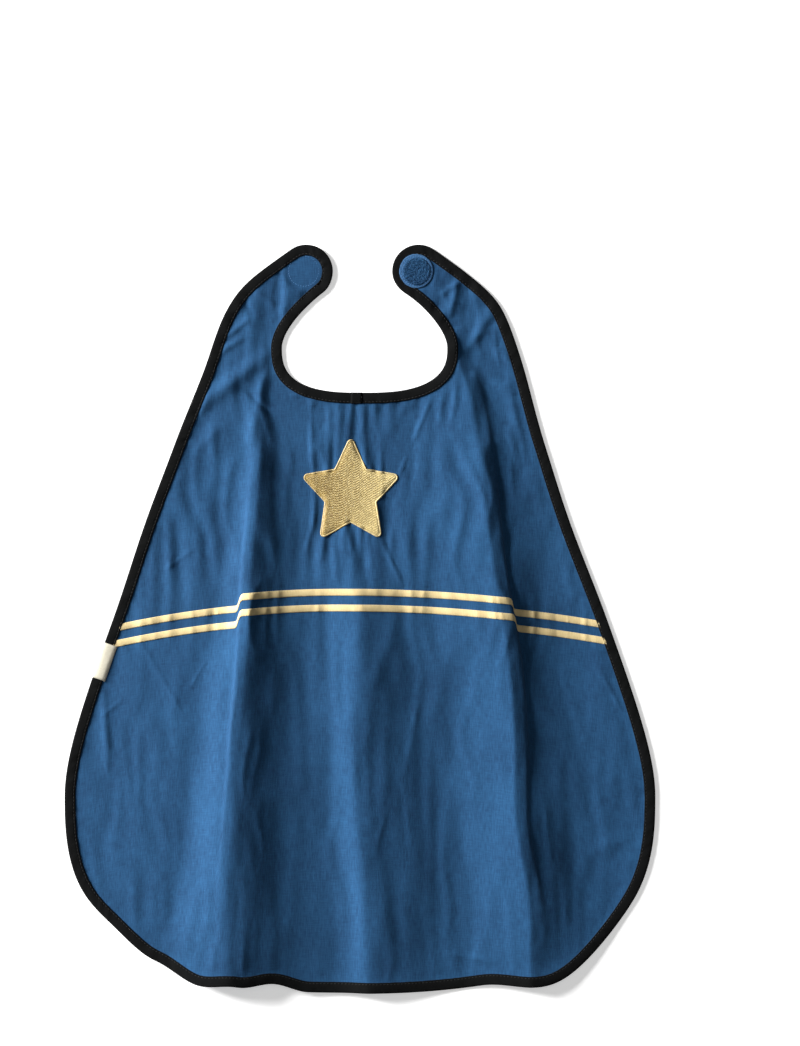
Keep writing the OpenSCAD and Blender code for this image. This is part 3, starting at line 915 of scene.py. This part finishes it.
def stitch_row(name, lines, thread, spacing, length, width, height=None, turn=0.0, lean=0.05, seed=1):
    """Stitches along lines of (places, upward directions, closed), sizes in millimetres."""
    points, ups, edges = [], [], []
    for place, direction, closed in lines:
        start = sum(len(p) for p in points)
        count = len(place)
        edges += [(start + i, start + (i + 1) % count) for i in range(count if closed else count - 1)]
        points.append(place)
        ups.append(direction)
    source = make_mesh(name + "_line", np.concatenate(points), [], edges=edges,
                       layers={"up": np.concatenate(ups)})
    return grown(name, source, row_tree, Spacing=spacing * MM, Length=length * MM, Width=width * MM,
                 Height=(height or width) * MM, Turn=turn, Lean=lean, Seed=seed, Thread=thread)


# %% The threads
def thread_finish(name, dark, light, painted_sheen=0.0, **shader):
    """Thread: a close pair of colours, and each stitch takes its own tone between them.

    painted_sheen brightens it towards the right: a painted sheen, the rayon's shine drawn into the colour as a
    gradient across the star."""
    material, tree, principled = new_material(name, **shader)
    tone = add(tree, "ShaderNodeAttribute", {"attribute_name": "tone"}).outputs["Fac"]
    place = add(tree, "ShaderNodeTexCoord").outputs["Object"]
    # Painted sheen: the tone rises from the left of the star to its right, a shine drawn into the thread's
    # colour.
    if painted_sheen:
        x = add(tree, "ShaderNodeSeparateXYZ", None, {0: place}).outputs["X"]
        side = add(tree, "ShaderNodeMapRange", None,
                   {0: x, 1: (STAR_MIDDLE[0] - STAR_R) * MM, 2: (STAR_MIDDLE[0] + STAR_R) * MM,
                    3: -painted_sheen, 4: painted_sheen}).outputs[0]
        tone = calc(tree, "MULTIPLY_ADD", {0: tone, 1: 0.75, 2: side})
    uneven = add(tree, "ShaderNodeTexNoise", None, {0: place, "Scale": 1 / (0.9 * MM), "Detail": 1.0})
    share = calc(tree, "MULTIPLY_ADD", {0: uneven.outputs["Fac"], 1: 0.5, 2: tone})
    share = add(tree, "ShaderNodeMapRange", None, {0: share, 1: 0.1, 2: 1.4}).outputs[0]
    colour = add(tree, "ShaderNodeMix", {"data_type": "RGBA"},
                 {0: share, 6: hex_colour(dark), 7: hex_colour(light)}).outputs[2]
    tree.links.new(colour, principled.inputs["Base Color"])
    twist = add(tree, "ShaderNodeTexNoise", None, {0: place, "Scale": 1 / (0.25 * MM), "Detail": 0.0})
    bumped = add(tree, "ShaderNodeBump", None, {"Distance": 0.05 * MM, "Height": twist.outputs["Fac"]})
    tree.links.new(bumped.outputs[0], principled.inputs["Normal"])
    return material


# Spun polyester sewing thread: fine and only a little shiny, so it shows as small raised grains.
black_thread = thread_finish("black polyester thread", "030404", "0A0C0D", roughness=0.7)
blue_thread = thread_finish("blue polyester thread", "33689B", "4379AB", roughness=0.55)
cream_thread = thread_finish("cream polyester thread", "B39F72", "C6B489", roughness=0.6)
white_thread = thread_finish("white polyester thread", "BDB8A6", "D3CEBF", roughness=0.6)

# %% Stitch the binding
BINDING_STITCH_AT = 8.0
binding_stitches = {}
for body in BODIES:
    lines = []
    for rows in runs_of(body):
        plan = edge[rows % stations] + edge_in[rows % stations] * BINDING_STITCH_AT
        place, up_ways = frame_at(plan)
        lines.append((place + up_ways * 0.72, up_ways, False))
    binding_stitches[body] = stitch_row(body + "_binding_stitches", lines, black_thread, 3.1, 2.7, 0.42, 0.5)

# %% [markdown]
# ## The overlap of the binding
#
# The tape starts and ends at the middle of the neck. There one end is folded under and laid over the
# other, which leaves a short, slightly higher step.

# %% Lay the overlap
join_rows = [i for i in range(stations) if abs(edge[i, 0] + 3.5) < 6.5 and 180 < edge[i, 1] < 215]
join_section = np.array([(s - 0.12 * np.sign(4 - s), h * 1.0) for s, h in section])
join_points = sweep(join_section, join_rows, grow=0.42)
join_points[[0, -1]] += (join_points.mean((0, 1)) - join_points[[0, -1]]) * [0.04, 0, 0]
grid = np.stack(np.meshgrid(run_mm[join_rows], section_run, indexing="ij"), -1).reshape(-1, 2)
join = make_mesh("binding_overlap", join_points.reshape(-1, 3), ribbon_faces(len(join_rows), len(section)),
                 grid)
print("overlap", len(join_rows) * EDGE_STEP, "mm")

# %% [markdown]
# ## The two ribbons
#
# Each ribbon is a flat woven tape, topstitched along both edges and caught under the binding at both
# ends. It is drawn on the cut cloth as a straight band, so the folds break it into steps just as they
# do on the real cape.

# %% Ribbons
RIBBON_SECTION = [(-3.0, 0.28), (-2.9, 0.58), (-2.3, 0.62), (-1.9, 0.72), (0, 0.76), (1.9, 0.72),
                  (2.3, 0.62),
                  (2.9, 0.58), (3.0, 0.28), (2.6, 0.12), (-2.6, 0.12)]


def band_between_bindings(b):
    """Places along the cut cloth at height b, from under one binding to under the other."""
    a = np.arange(-HALF_WIDTH - 15, HALF_WIDTH + 25, 0.5)
    x, y, _z = lay(a, np.full_like(a, b))
    place = np.stack([x, y], 1)
    inside = in_polygon(place, edge) & (nearest(place, edge)[1] > 4.5)
    return np.arange(a[inside].min(), a[inside].max(), 1.1)


def ribbon(name, b):
    a = band_between_bindings(b)
    points = np.zeros((len(a), len(RIBBON_SECTION), 3))
    for k, (across_it, lift) in enumerate(RIBBON_SECTION):
        place, up_ways = frame_on(a, np.full_like(a, b + across_it))
        points[:, k] = place + up_ways * lift
    widths = np.array([s[0] for s in RIBBON_SECTION])
    uv = np.stack(np.meshgrid(a, widths, indexing="ij"), -1).reshape(-1, 2)
    faces = [f[::-1] for f in ribbon_faces(len(a), len(RIBBON_SECTION))]
    band = make_mesh(name, points.reshape(-1, 3), faces, uv)
    lines = []
    for across_it in (-2.3, 2.3):
        place, up_ways = frame_on(a, np.full_like(a, b + across_it))
        lines.append((place + up_ways * 0.62, up_ways, False))
    return band, stitch_row(name + "_stitches", lines, cream_thread, 2.4, 1.9, 0.36, 0.3, seed=5)


upper_ribbon, upper_stitches = ribbon("upper_ribbon", 15.0)
lower_ribbon, lower_stitches = ribbon("lower_ribbon", 1.3)

# Polyester ribbon: a smoother, closer weave than the cotton, so it is paler and a little brighter.
ribbon_finish = woven("woven polyester ribbon", "C6AF7B", "D8C391", 0.8, (0.6, 5.0), 0.05, mottle=0.3,
                      roughness=0.6, sheen_weight=0.1, specular_ior_level=0.4)
for band in (upper_ribbon, lower_ribbon):
    band.data.materials.append(ribbon_finish)

# %% [markdown]
# ## The star
#
# The star is machine embroidery: long thin stitches packed side by side over a stiff backing, and a
# rim of satin stitches square to the edge. The threads stand about a millimetre above the cotton and
# pull it into small pleats all round. The padded plate gives the body, and the stitches lie on it.

# %% The plate under the threads
def star_plate(name, margin, low, high, step=1.8, rise=1.3):
    """A closed plate in the star's outline, low and high above the cloth's middle."""
    outline = star_outline(margin, step)
    inner = lattice(step, outline.min(0), outline.max(0))
    inner = inner[in_polygon(inner, outline)]
    inner = inner[nearest(inner, outline)[1] > 0.55 * step]
    plan = np.concatenate([outline, inner])
    cdt = delaunay_2d_cdt([Vector(p) for p in plan.tolist()], [], [list(range(len(outline)))], 1, 1e-4)
    plan = np.array([tuple(v) for v in cdt[0]])
    flat_faces = np.array(cdt[2])
    a, b, c = (plan[flat_faces[:, k]] for k in range(3))
    if np.cross(b - a, c - a).mean() < 0:
        flat_faces = flat_faces[:, ::-1]
    place, up_ways = frame_at(plan)
    depth = nearest(plan, star_outline(margin))[1]
    dome = low + (high - low) * (1 - np.exp(-depth / rise)) if high > 0 else np.full(len(plan), high)
    n = len(plan)
    top = place + up_ways * (dome + 0.02)[:, None]
    bottom = place + up_ways * low
    bottom[:, 2] = np.maximum(bottom[:, 2], 0.03)
    top[:, 2] = np.maximum(top[:, 2], bottom[:, 2] + 0.08)
    sides = np.concatenate([flat_faces[:, [0, 1]], flat_faces[:, [1, 2]], flat_faces[:, [2, 0]]])
    key = {tuple(s) for s in sides.tolist()}
    rim = [s for s in key if (s[1], s[0]) not in key]
    faces = flat_faces.tolist() + (flat_faces[:, ::-1] + n).tolist() + [(j, i, i + n, j + n) for i, j in rim]
    return make_mesh(name, np.concatenate([top, bottom]), faces, np.concatenate([plan, plan]))


plate = star_plate("embroidered_star", 0.0, 0.25, 1.1)
fill_area = star_plate("star_fill_area", 1.1, 0.25, 1.12)
print("star plate", len(plate.data.polygons), "faces")

# %% The tree for the fill
fill_tree, given, result = new_tree(
    "rows of fill stitches", ("Row gap", "Float"), ("Length", "Float"), ("Width", "Float"), ("Height",
                                                                                             "Float"),
    ("Slope", "Float"), ("Lean", "Float"), ("Seed", "Int"), ("Thread", "Material"))
box = add(fill_tree, "GeometryNodeBoundBox", None, {0: given["Geometry"]})
extent = add(fill_tree, "ShaderNodeVectorMath", {"operation": "SUBTRACT"},
             {0: box.outputs["Max"], 1: box.outputs["Min"]}).outputs[0]
extent = add(fill_tree, "ShaderNodeSeparateXYZ", None, {0: extent}).outputs
counts = []
for axis, gap in (("X", "Row gap"), ("Y", "Length")):
    share = calc(fill_tree, "DIVIDE", {0: extent[axis], 1: given[gap]})
    counts.append(calc(fill_tree, "CEIL", {0: share}))
rows = add(fill_tree, "GeometryNodeMeshGrid", None,
           {"Size X": extent["X"], "Size Y": extent["Y"], "Vertices X": counts[0], "Vertices Y": counts[1]})
index = add(fill_tree, "GeometryNodeInputIndex").outputs[0]
row = calc(fill_tree, "DIVIDE", {0: index, 1: counts[1]})
row = calc(fill_tree, "FLOOR", {0: row})
slip = add(fill_tree, "FunctionNodeRandomValue", {"data_type": "FLOAT"},
           {2: -0.5, 3: 0.5, "ID": row, "Seed": given["Seed"]}).outputs[1]
slip = calc(fill_tree, "MULTIPLY", {0: slip, 1: given["Length"]})
slip = add(fill_tree, "ShaderNodeCombineXYZ", None, {"Y": slip}).outputs[0]
middle = add(fill_tree, "ShaderNodeVectorMath", {"operation": "ADD"},
             {0: box.outputs["Max"], 1: box.outputs["Min"]}).outputs[0]
middle = add(fill_tree, "ShaderNodeVectorMath", {"operation": "SCALE"}, {0: middle, "Scale": 0.5}).outputs[0]
shift = add(fill_tree, "ShaderNodeVectorMath", {"operation": "ADD"}, {0: slip, 1: middle}).outputs[0]
moved = add(fill_tree, "GeometryNodeSetPosition", None,
            {"Geometry": rows.outputs[0], "Offset": shift}).outputs[0]
here = add(fill_tree, "GeometryNodeInputPosition").outputs[0]
above = add(fill_tree, "ShaderNodeVectorMath", {"operation": "ADD"}, {0: here, 1: (0, 0, 0.02)}).outputs[0]
ray = add(fill_tree, "GeometryNodeRaycast", None,
          {"Target Geometry": given["Geometry"], "Source Position": above, "Ray Direction": (0, 0, -1),
           "Ray Length": 0.1}).outputs
kept = add(fill_tree, "GeometryNodeSeparateGeometry", {"domain": "POINT"},
           {0: moved, 1: ray["Is Hit"]}).outputs[0]
resting = add(fill_tree, "GeometryNodeSetPosition", None,
              {"Geometry": kept, "Position": ray["Hit Position"]}).outputs[0]
facing = add(fill_tree, "FunctionNodeAxesToRotation", {"primary_axis": "Z", "secondary_axis": "X"},
             {0: ray["Hit Normal"], 1: (0, 1, 0)}).outputs[0]
wobble = add(fill_tree, "FunctionNodeRandomValue", {"data_type": "FLOAT"},
             {2: -1.0, 3: 1.0, "Seed": given["Seed"]}).outputs[1]
turn = calc(fill_tree, "MULTIPLY_ADD", {0: wobble, 1: given["Lean"], 2: given["Slope"]})
turn = add(fill_tree, "ShaderNodeCombineXYZ", None, {"Z": turn}).outputs[0]
turn = add(fill_tree, "FunctionNodeEulerToRotation", None, {0: turn}).outputs[0]
facing = add(fill_tree, "FunctionNodeRotateRotation", {"rotation_space": "LOCAL"},
             {0: facing, 1: turn}).outputs[0]
ball = add(fill_tree, "GeometryNodeMeshIcoSphere", None, {"Radius": 0.5, "Subdivisions": 1}).outputs[0]
size = add(fill_tree, "ShaderNodeCombineXYZ", None,
           {"X": given["Length"], "Y": given["Width"], "Z": given["Height"]}).outputs[0]
scatter(fill_tree, given, result, resting, ball, facing, size)

# %% Embroider it
# Rayon embroidery thread: silky, so packed rows shine softly where they face the lamp, and a painted sheen makes
# its colour paler towards the right of the star.
gold_thread = thread_finish("gold rayon embroidery thread", "937A40", "EBD798", painted_sheen=0.7, roughness=0.42,
                            specular_ior_level=0.55, sheen_weight=0.15)
# Painted sheen here too: the satin thread's colour is paler towards the right of the star.
satin_thread = thread_finish("pale gold satin stitches", "A48C52", "E8D6A0", painted_sheen=0.5, roughness=0.38,
                             specular_ior_level=0.6, sheen_weight=0.15)
star_fill = grown("star_stitches", fill_area, fill_tree, **{"Row gap": 0.62 * MM}, Length=2.1 * MM,
                  Width=0.7 * MM, Height=0.6 * MM, Slope=math.radians(4), Lean=math.radians(9), Seed=3,
                  Thread=gold_thread)
plate.data.materials.append(gold_thread)
rim_plan = star_outline(0.75)
place, up_ways = frame_at(rim_plan)
star_rim = stitch_row("satin_rim", [(place + up_ways * 0.72, up_ways, True)], satin_thread, 0.5, 1.7, 0.6,
                      0.55,
                      turn=math.radians(90), lean=0.08, seed=7)

# %% The backing sheet under the star
backing = star_plate("backing_sheet", -2.5, -0.48, -0.34, step=3.2)
# Tear-away backing: thin pressed fibre, off-white and dull.
backing_finish = woven("pressed fibre backing", "D9D7CF", "ECEAE3", 0.7, (0.8, 1.2), 0.05, roughness=0.9)
backing.data.materials.append(backing_finish)

# %% [markdown]
# ## The side label
#
# A short woven ribbon is folded round the binding and sewn through. It is left blank.

# %% Fold the label
LABEL_SECTION = [(11.6, 0.34), (11.5, 0.6), (10.6, 0.82), (9.6, 1.12), (8.0, 1.2), (4.5, 1.34), (1.2, 1.3),
                 (0.2, 1.02), (-0.22, 0.5), (-0.3, 0.0), (-0.22, -0.5), (0.2, -0.98), (1.2, -1.2), (6,
                                                                                                    -1.22),
                 (9.8, -1.22), (9.8, -1.08), (6, -1.08), (1.3, -1.06), (0.4, -0.86), (0.02, -0.45), (-0.06,
                                                                                                     0.0),
                 (0.02, 0.45), (0.4, 0.9), (1.3, 1.14), (4.5, 1.18), (8.0, 1.06), (9.4, 0.96), (10.4, 0.62),
                 (11.3, 0.42)]
label_section = np.array(LABEL_SECTION)
label_rows = [i for i in range(stations) if LABEL_TO < edge[i, 1] < LABEL_FROM and edge[i, 0] < 0]
label_points = sweep(label_section, label_rows, ripple=0.0)
label_run = np.concatenate([[0], np.cumsum(np.linalg.norm(np.diff(label_section, axis=0), axis=1))])
grid = np.stack(np.meshgrid(run_mm[label_rows], label_run, indexing="ij"), -1).reshape(-1, 2)
label = make_mesh("folded_label", label_points.reshape(-1, 3),
                  ribbon_faces(len(label_rows), len(label_section)), grid)
plan = edge[label_rows] + edge_in[label_rows] * 10.6
place, up_ways = frame_at(plan)
label_stitches = stitch_row("label_stitches", [(place + up_ways * 0.82, up_ways, False)], white_thread, 2.4,
                            1.9,
                            0.36, 0.4, seed=9)
# Damask label tape: close and flat, with a soft cream white and hardly any shine.
label_tape = woven("woven damask label tape", "C4BDA8", "D6D1BF", 0.7, (0.5, 3.0), 0.03, mottle=0.2,
                   roughness=0.7,
                   specular_ior_level=0.4)
label.data.materials.append(label_tape)
print("label", len(label_rows) * EDGE_STEP, "mm long")

# %% [markdown]
# ## Hook and loop discs
#
# The right tab carries a disc of soft loops on top, and the left tab a disc of small stiff hooks
# below. Both are round tapes sewn on with a ring of stitches, and that ring shows through on the
# other side of each tab.

# %% Round plates
def round_plate(name, centre, low, high, radius=DISC_R, groove_at=None, rings=13, turns=64):
    """A disc between two heights above the table, with rounded edges and a groove for its stitches."""
    radii = np.concatenate([np.linspace(0.6, radius - 1.2, rings), [radius - 0.6, radius - 0.2, radius]])
    fall = np.concatenate([np.zeros(rings), [0.08, 0.3, 0.6]]) * (high - low)
    if groove_at is not None:
        fall = fall + 0.35 * (high - low) * np.exp(-((radii - groove_at) / 0.9) ** 2)
    angle = np.linspace(0, 2 * math.pi, turns, endpoint=False)
    circle = np.stack([np.cos(angle), np.sin(angle)], 1)
    points, faces = [[centre[0], centre[1], high]], []
    for r, drop in zip(radii, fall):
        points += [[centre[0] + r * c, centre[1] + r * s, high - drop] for c, s in circle]
    points += [[centre[0] + radius * c, centre[1] + radius * s, low] for c, s in circle]
    points.append([centre[0], centre[1], low])
    for k in range(turns):
        n = (k + 1) % turns
        faces.append((0, 1 + k, 1 + n))
        for ring in range(len(radii)):
            inner, outer = 1 + ring * turns, 1 + (ring + 1) * turns
            faces.append((inner + k, outer + k, outer + n, inner + n))
        last = 1 + len(radii) * turns
        faces.append((len(points) - 1, last + n, last + k))
    xy = np.array(points)[:, :2]
    return make_mesh(name, points, faces, xy)


def ring_line(centre, radius, z, turns=96, down=False):
    angle = np.linspace(0, 2 * math.pi, turns, endpoint=False)
    place = np.stack([centre[0] + radius * np.cos(angle), centre[1] + radius * np.sin(angle),
                      np.full(turns, z)], 1)
    return place, np.tile([0.0, 0.0, -1.0 if down else 1.0], (turns, 1)), True


left_tab_centre, right_tab_centre = TAB * [-1, 1], TAB
DISC_STITCH_R = DISC_R - 1.9
loop_plate = round_plate("loop_fastener", right_tab_centre, 1.42, 2.35, groove_at=DISC_STITCH_R)
hook_plate = round_plate("hook_fastener", left_tab_centre, 0.42, 0.78)
PILE_R = DISC_R - 2.6
loop_area = round_plate("loop_area", right_tab_centre, 1.42, 2.3, PILE_R)
hook_area = round_plate("hook_area", left_tab_centre, 0.42, 0.78, PILE_R)

# %% The tree for loops and hooks
pile_tree, given, result = new_tree(
    "pile on a disc", ("Gap", "Float"), ("Radius", "Float"), ("Thickness", "Float"), ("Sweep", "Float"),
    ("Side", "Float"), ("Seed", "Int"), ("Thread", "Material"))
normal = add(pile_tree, "GeometryNodeInputNormal").outputs[0]
tilt = add(pile_tree, "ShaderNodeSeparateXYZ", None, {0: normal}).outputs["Z"]
tilt = calc(pile_tree, "MULTIPLY", {0: tilt, 1: given["Side"]})
chosen = add(pile_tree, "FunctionNodeCompare", {"operation": "GREATER_THAN"}, {0: tilt, 1: 0.8}).outputs[0]
strewn = add(pile_tree, "GeometryNodeDistributePointsOnFaces", {"distribute_method": "POISSON"},
             {"Mesh": given["Geometry"], "Selection": chosen, "Distance Min": given["Gap"],
              "Density Max": 4e6, "Seed": given["Seed"]})
arc = add(pile_tree, "GeometryNodeCurveArc", {"mode": "RADIUS"},
          {"Resolution": 6, "Radius": given["Radius"], "Start Angle": -0.35, "Sweep Angle": given["Sweep"]})
stand = add(pile_tree, "GeometryNodeTransform", None,
            {"Geometry": arc.outputs[0], "Rotation": (math.pi / 2, 0, 0)}).outputs[0]
bristle = add(pile_tree, "GeometryNodeCurvePrimitiveCircle", {"mode": "RADIUS"},
              {"Resolution": 3, "Radius": given["Thickness"]}).outputs[0]
loop = add(pile_tree, "GeometryNodeCurveToMesh", None, {"Curve": stand, "Profile Curve": bristle,
                                                       "Fill Caps": True}).outputs[0]
spin = add(pile_tree, "FunctionNodeRandomValue", {"data_type": "FLOAT"},
           {2: 0.0, 3: 2 * math.pi, "Seed": given["Seed"]}).outputs[1]
spin = add(pile_tree, "ShaderNodeCombineXYZ", None, {"Z": spin}).outputs[0]
spin = add(pile_tree, "FunctionNodeEulerToRotation", None, {0: spin}).outputs[0]
facing = add(pile_tree, "FunctionNodeRotateRotation", {"rotation_space": "LOCAL"},
             {0: strewn.outputs["Rotation"], 1: spin}).outputs[0]
grow = add(pile_tree, "FunctionNodeRandomValue", {"data_type": "FLOAT"},
           {2: 0.8, 3: 1.15, "Seed": given["Seed"]}).outputs[1]
scatter(pile_tree, given, result, strewn.outputs[0], loop, facing, grow)

# %% Loops, hooks and their stitches
# Knitted nylon loops: a fuzzy pile that catches light all over, so it looks paler than the cotton.
loop_pile = thread_finish("blue nylon loop pile", "0B3B66", "22628F", roughness=0.8)
loop_tape = woven("knitted nylon loop tape", "174673", "2A618C", 0.8, (0.8, 0.9), 0.10, roughness=0.8,
                  sheen_weight=0.08)
hook_plastic = thread_finish("moulded nylon hooks", "285E92", "366FA3", roughness=0.4)
hook_tape = woven("nylon hook tape", "275A8C", "33699B", 0.8, (0.6, 0.8), 0.05, roughness=0.6)
loop_plate.data.materials.append(loop_tape)
hook_plate.data.materials.append(hook_tape)


loops = grown("loop_pile", loop_area, pile_tree, Gap=0.5 * MM, Radius=0.62 * MM, Thickness=0.14 * MM,
              Sweep=math.radians(220), Side=1.0, Seed=13, Thread=loop_pile)
hooks = grown("hook_pile", hook_area, pile_tree, Gap=1.15 * MM, Radius=0.2 * MM, Thickness=0.07 * MM,
              Sweep=math.radians(200), Side=-1.0, Seed=17, Thread=hook_plastic)
loop_ring = stitch_row("loop_disc_stitches", [ring_line(right_tab_centre, DISC_STITCH_R, 2.12)],
                       blue_thread, 2.3,
                       2.0, 0.42, 0.45, seed=19)
hook_ring = stitch_row("hook_disc_stitches", [ring_line(left_tab_centre, DISC_STITCH_R, 1.46)], blue_thread,
                       2.3,
                       2.0, 0.42, 0.4, seed=23)

# %% [markdown]
# ## Bodies and joints
#
# The cape bends at two shoulder lines and two tab lines. A piece on the panel rides on it, and the hook and loop
# discs ride on their tabs. The cloth, binding and stitches past a fold line are parted there into pieces of
# their own, which stay where they lie.


def follow(obj, body, slot, *nodes):
    """Lets a piece on the cape move with the cape's body, bakes the place of any other piece into its mesh, and
    puts it in place of its solids. slot is not used.
    """
    if body == "cape":
        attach(obj, "cape")
    else:
        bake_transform(obj)
    if nodes:
        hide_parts(*nodes)


for body in BODIES:
    cloth[body].data.materials.append(cotton)
    binding[body].data.materials.append(bias_tape)
join.data.materials.append(bias_tape)

follow(cloth["cape"], "cape", "cotton", "cape_panel")
follow(binding["cape"], "cape", "binding", "cape_binding")
follow(binding_stitches["cape"], "cape", "binding_thread", "cape_binding_stitching")
for side in ("left", "right"):
    for part in ("shoulder", "tab"):
        body = side + "_" + part
        follow(cloth[body], body, "cotton", body + "_panel")
        follow(binding[body], body, "binding", body + "_binding")
        follow(binding_stitches[body], body, "binding_thread", body + "_stitching")
follow(join, "cape", "binding", "binding_join")
follow(upper_ribbon, "cape", "ribbon", "upper_stripe")
follow(lower_ribbon, "cape", "ribbon", "lower_stripe")
follow(upper_stitches, "cape", "ribbon")
follow(lower_stitches, "cape", "ribbon")
follow(plate, "cape", "embroidery", "star")
follow(star_fill, "cape", "embroidery")
follow(star_rim, "cape", "satin_stitch", "star_rim")
follow(backing, "cape", "backing", "star_backing")
follow(label, "cape", "label", "side_label")
follow(label_stitches, "cape", "label_thread", "label_stitching")
for obj, body, slot, node in ((loop_plate, "right_tab", "loop_tape", "loop_disc"),
                              (loops, "right_tab", "loop_tape", None),
                              (loop_ring, "right_tab", "disc_thread", "loop_stitching"),
                              (hook_plate, "left_tab", "hook_tape", "hook_disc"),
                              (hooks, "left_tab", "hook_tape", None),
                              (hook_ring, "left_tab", "disc_thread", "hook_stitching")):
    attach(obj, body)
    if node:
        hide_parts(node)

for body in BODIES:
    width, length, area = flat_sizes[body]
    print(f"{body} cloth: {width:.3f} x {length:.3f} m, {area:.4f} square m")


# %% [markdown]
# ## Camera, floor and light
#
# The cape is seen from straight above. A lamp low on the left and a wide soft one overhead give the
# folds their bright and dark sides and keep the floor white.

# %% Camera
VIEW_MIDDLE = (0.0349, 0.0833)
VIEW_WIDTH = 0.6976
CAMERA_HEIGHT = 2.5
camera_data = bpy.data.cameras.new("overhead camera")
camera_data.sensor_fit = "HORIZONTAL"
camera_data.sensor_width = 36
camera_data.lens = 36 * CAMERA_HEIGHT / VIEW_WIDTH
camera = bpy.data.objects.new("overhead camera", camera_data)
camera.location = (*VIEW_MIDDLE, CAMERA_HEIGHT)
bpy.context.scene.collection.objects.link(camera)
bpy.context.scene.camera = camera

# %% Floor
floor_mesh = bpy.data.meshes.new("floor")
floor_mesh.from_pydata([(-9, -9, 0), (9, -9, 0), (9, 9, 0), (-9, 9, 0)], [], [(0, 1, 2, 3)])
floor = bpy.data.objects.new("floor", floor_mesh)
bpy.context.scene.collection.objects.link(floor)
# White paper lit a little from below, as on a studio table, which keeps the shadows on it pale
paper = new_material("white paper backdrop", base_color=hex_colour("F4F4F3"), roughness=0.9,
                     emission_color=hex_colour("FFFFFF"), emission_strength=0.45)[0]
floor.data.materials.append(paper)


# %% Light
def area_light(name, place, size, watts, colour="FFFFFF"):
    """A square lamp that looks at the middle of the cape."""
    data = bpy.data.lights.new(name, "AREA")
    data.size = size
    data.energy = watts
    data.color = hex_colour(colour)[:3]
    lamp = bpy.data.objects.new(name, data)
    lamp.location = place
    lamp.rotation_euler = (Vector((0, 0, 0)) - Vector(place)).to_track_quat("-Z", "Y").to_euler()
    bpy.context.scene.collection.objects.link(lamp)
    return lamp


area_light("low lamp on the left", (-5.2, 2.3, 1.65), 1.7, 1480)
area_light("wide soft lamp", (0.0, 0.8, 5.0), 4.0, 22)
world = bpy.data.worlds.new("studio")
world.use_nodes = True
world.node_tree.nodes["Background"].inputs["Color"].default_value = hex_colour("FFFFFF")
world.node_tree.nodes["Background"].inputs["Strength"].default_value = 0.085
bpy.context.scene.world = world
bpy.context.scene.view_settings.view_transform = "Standard"
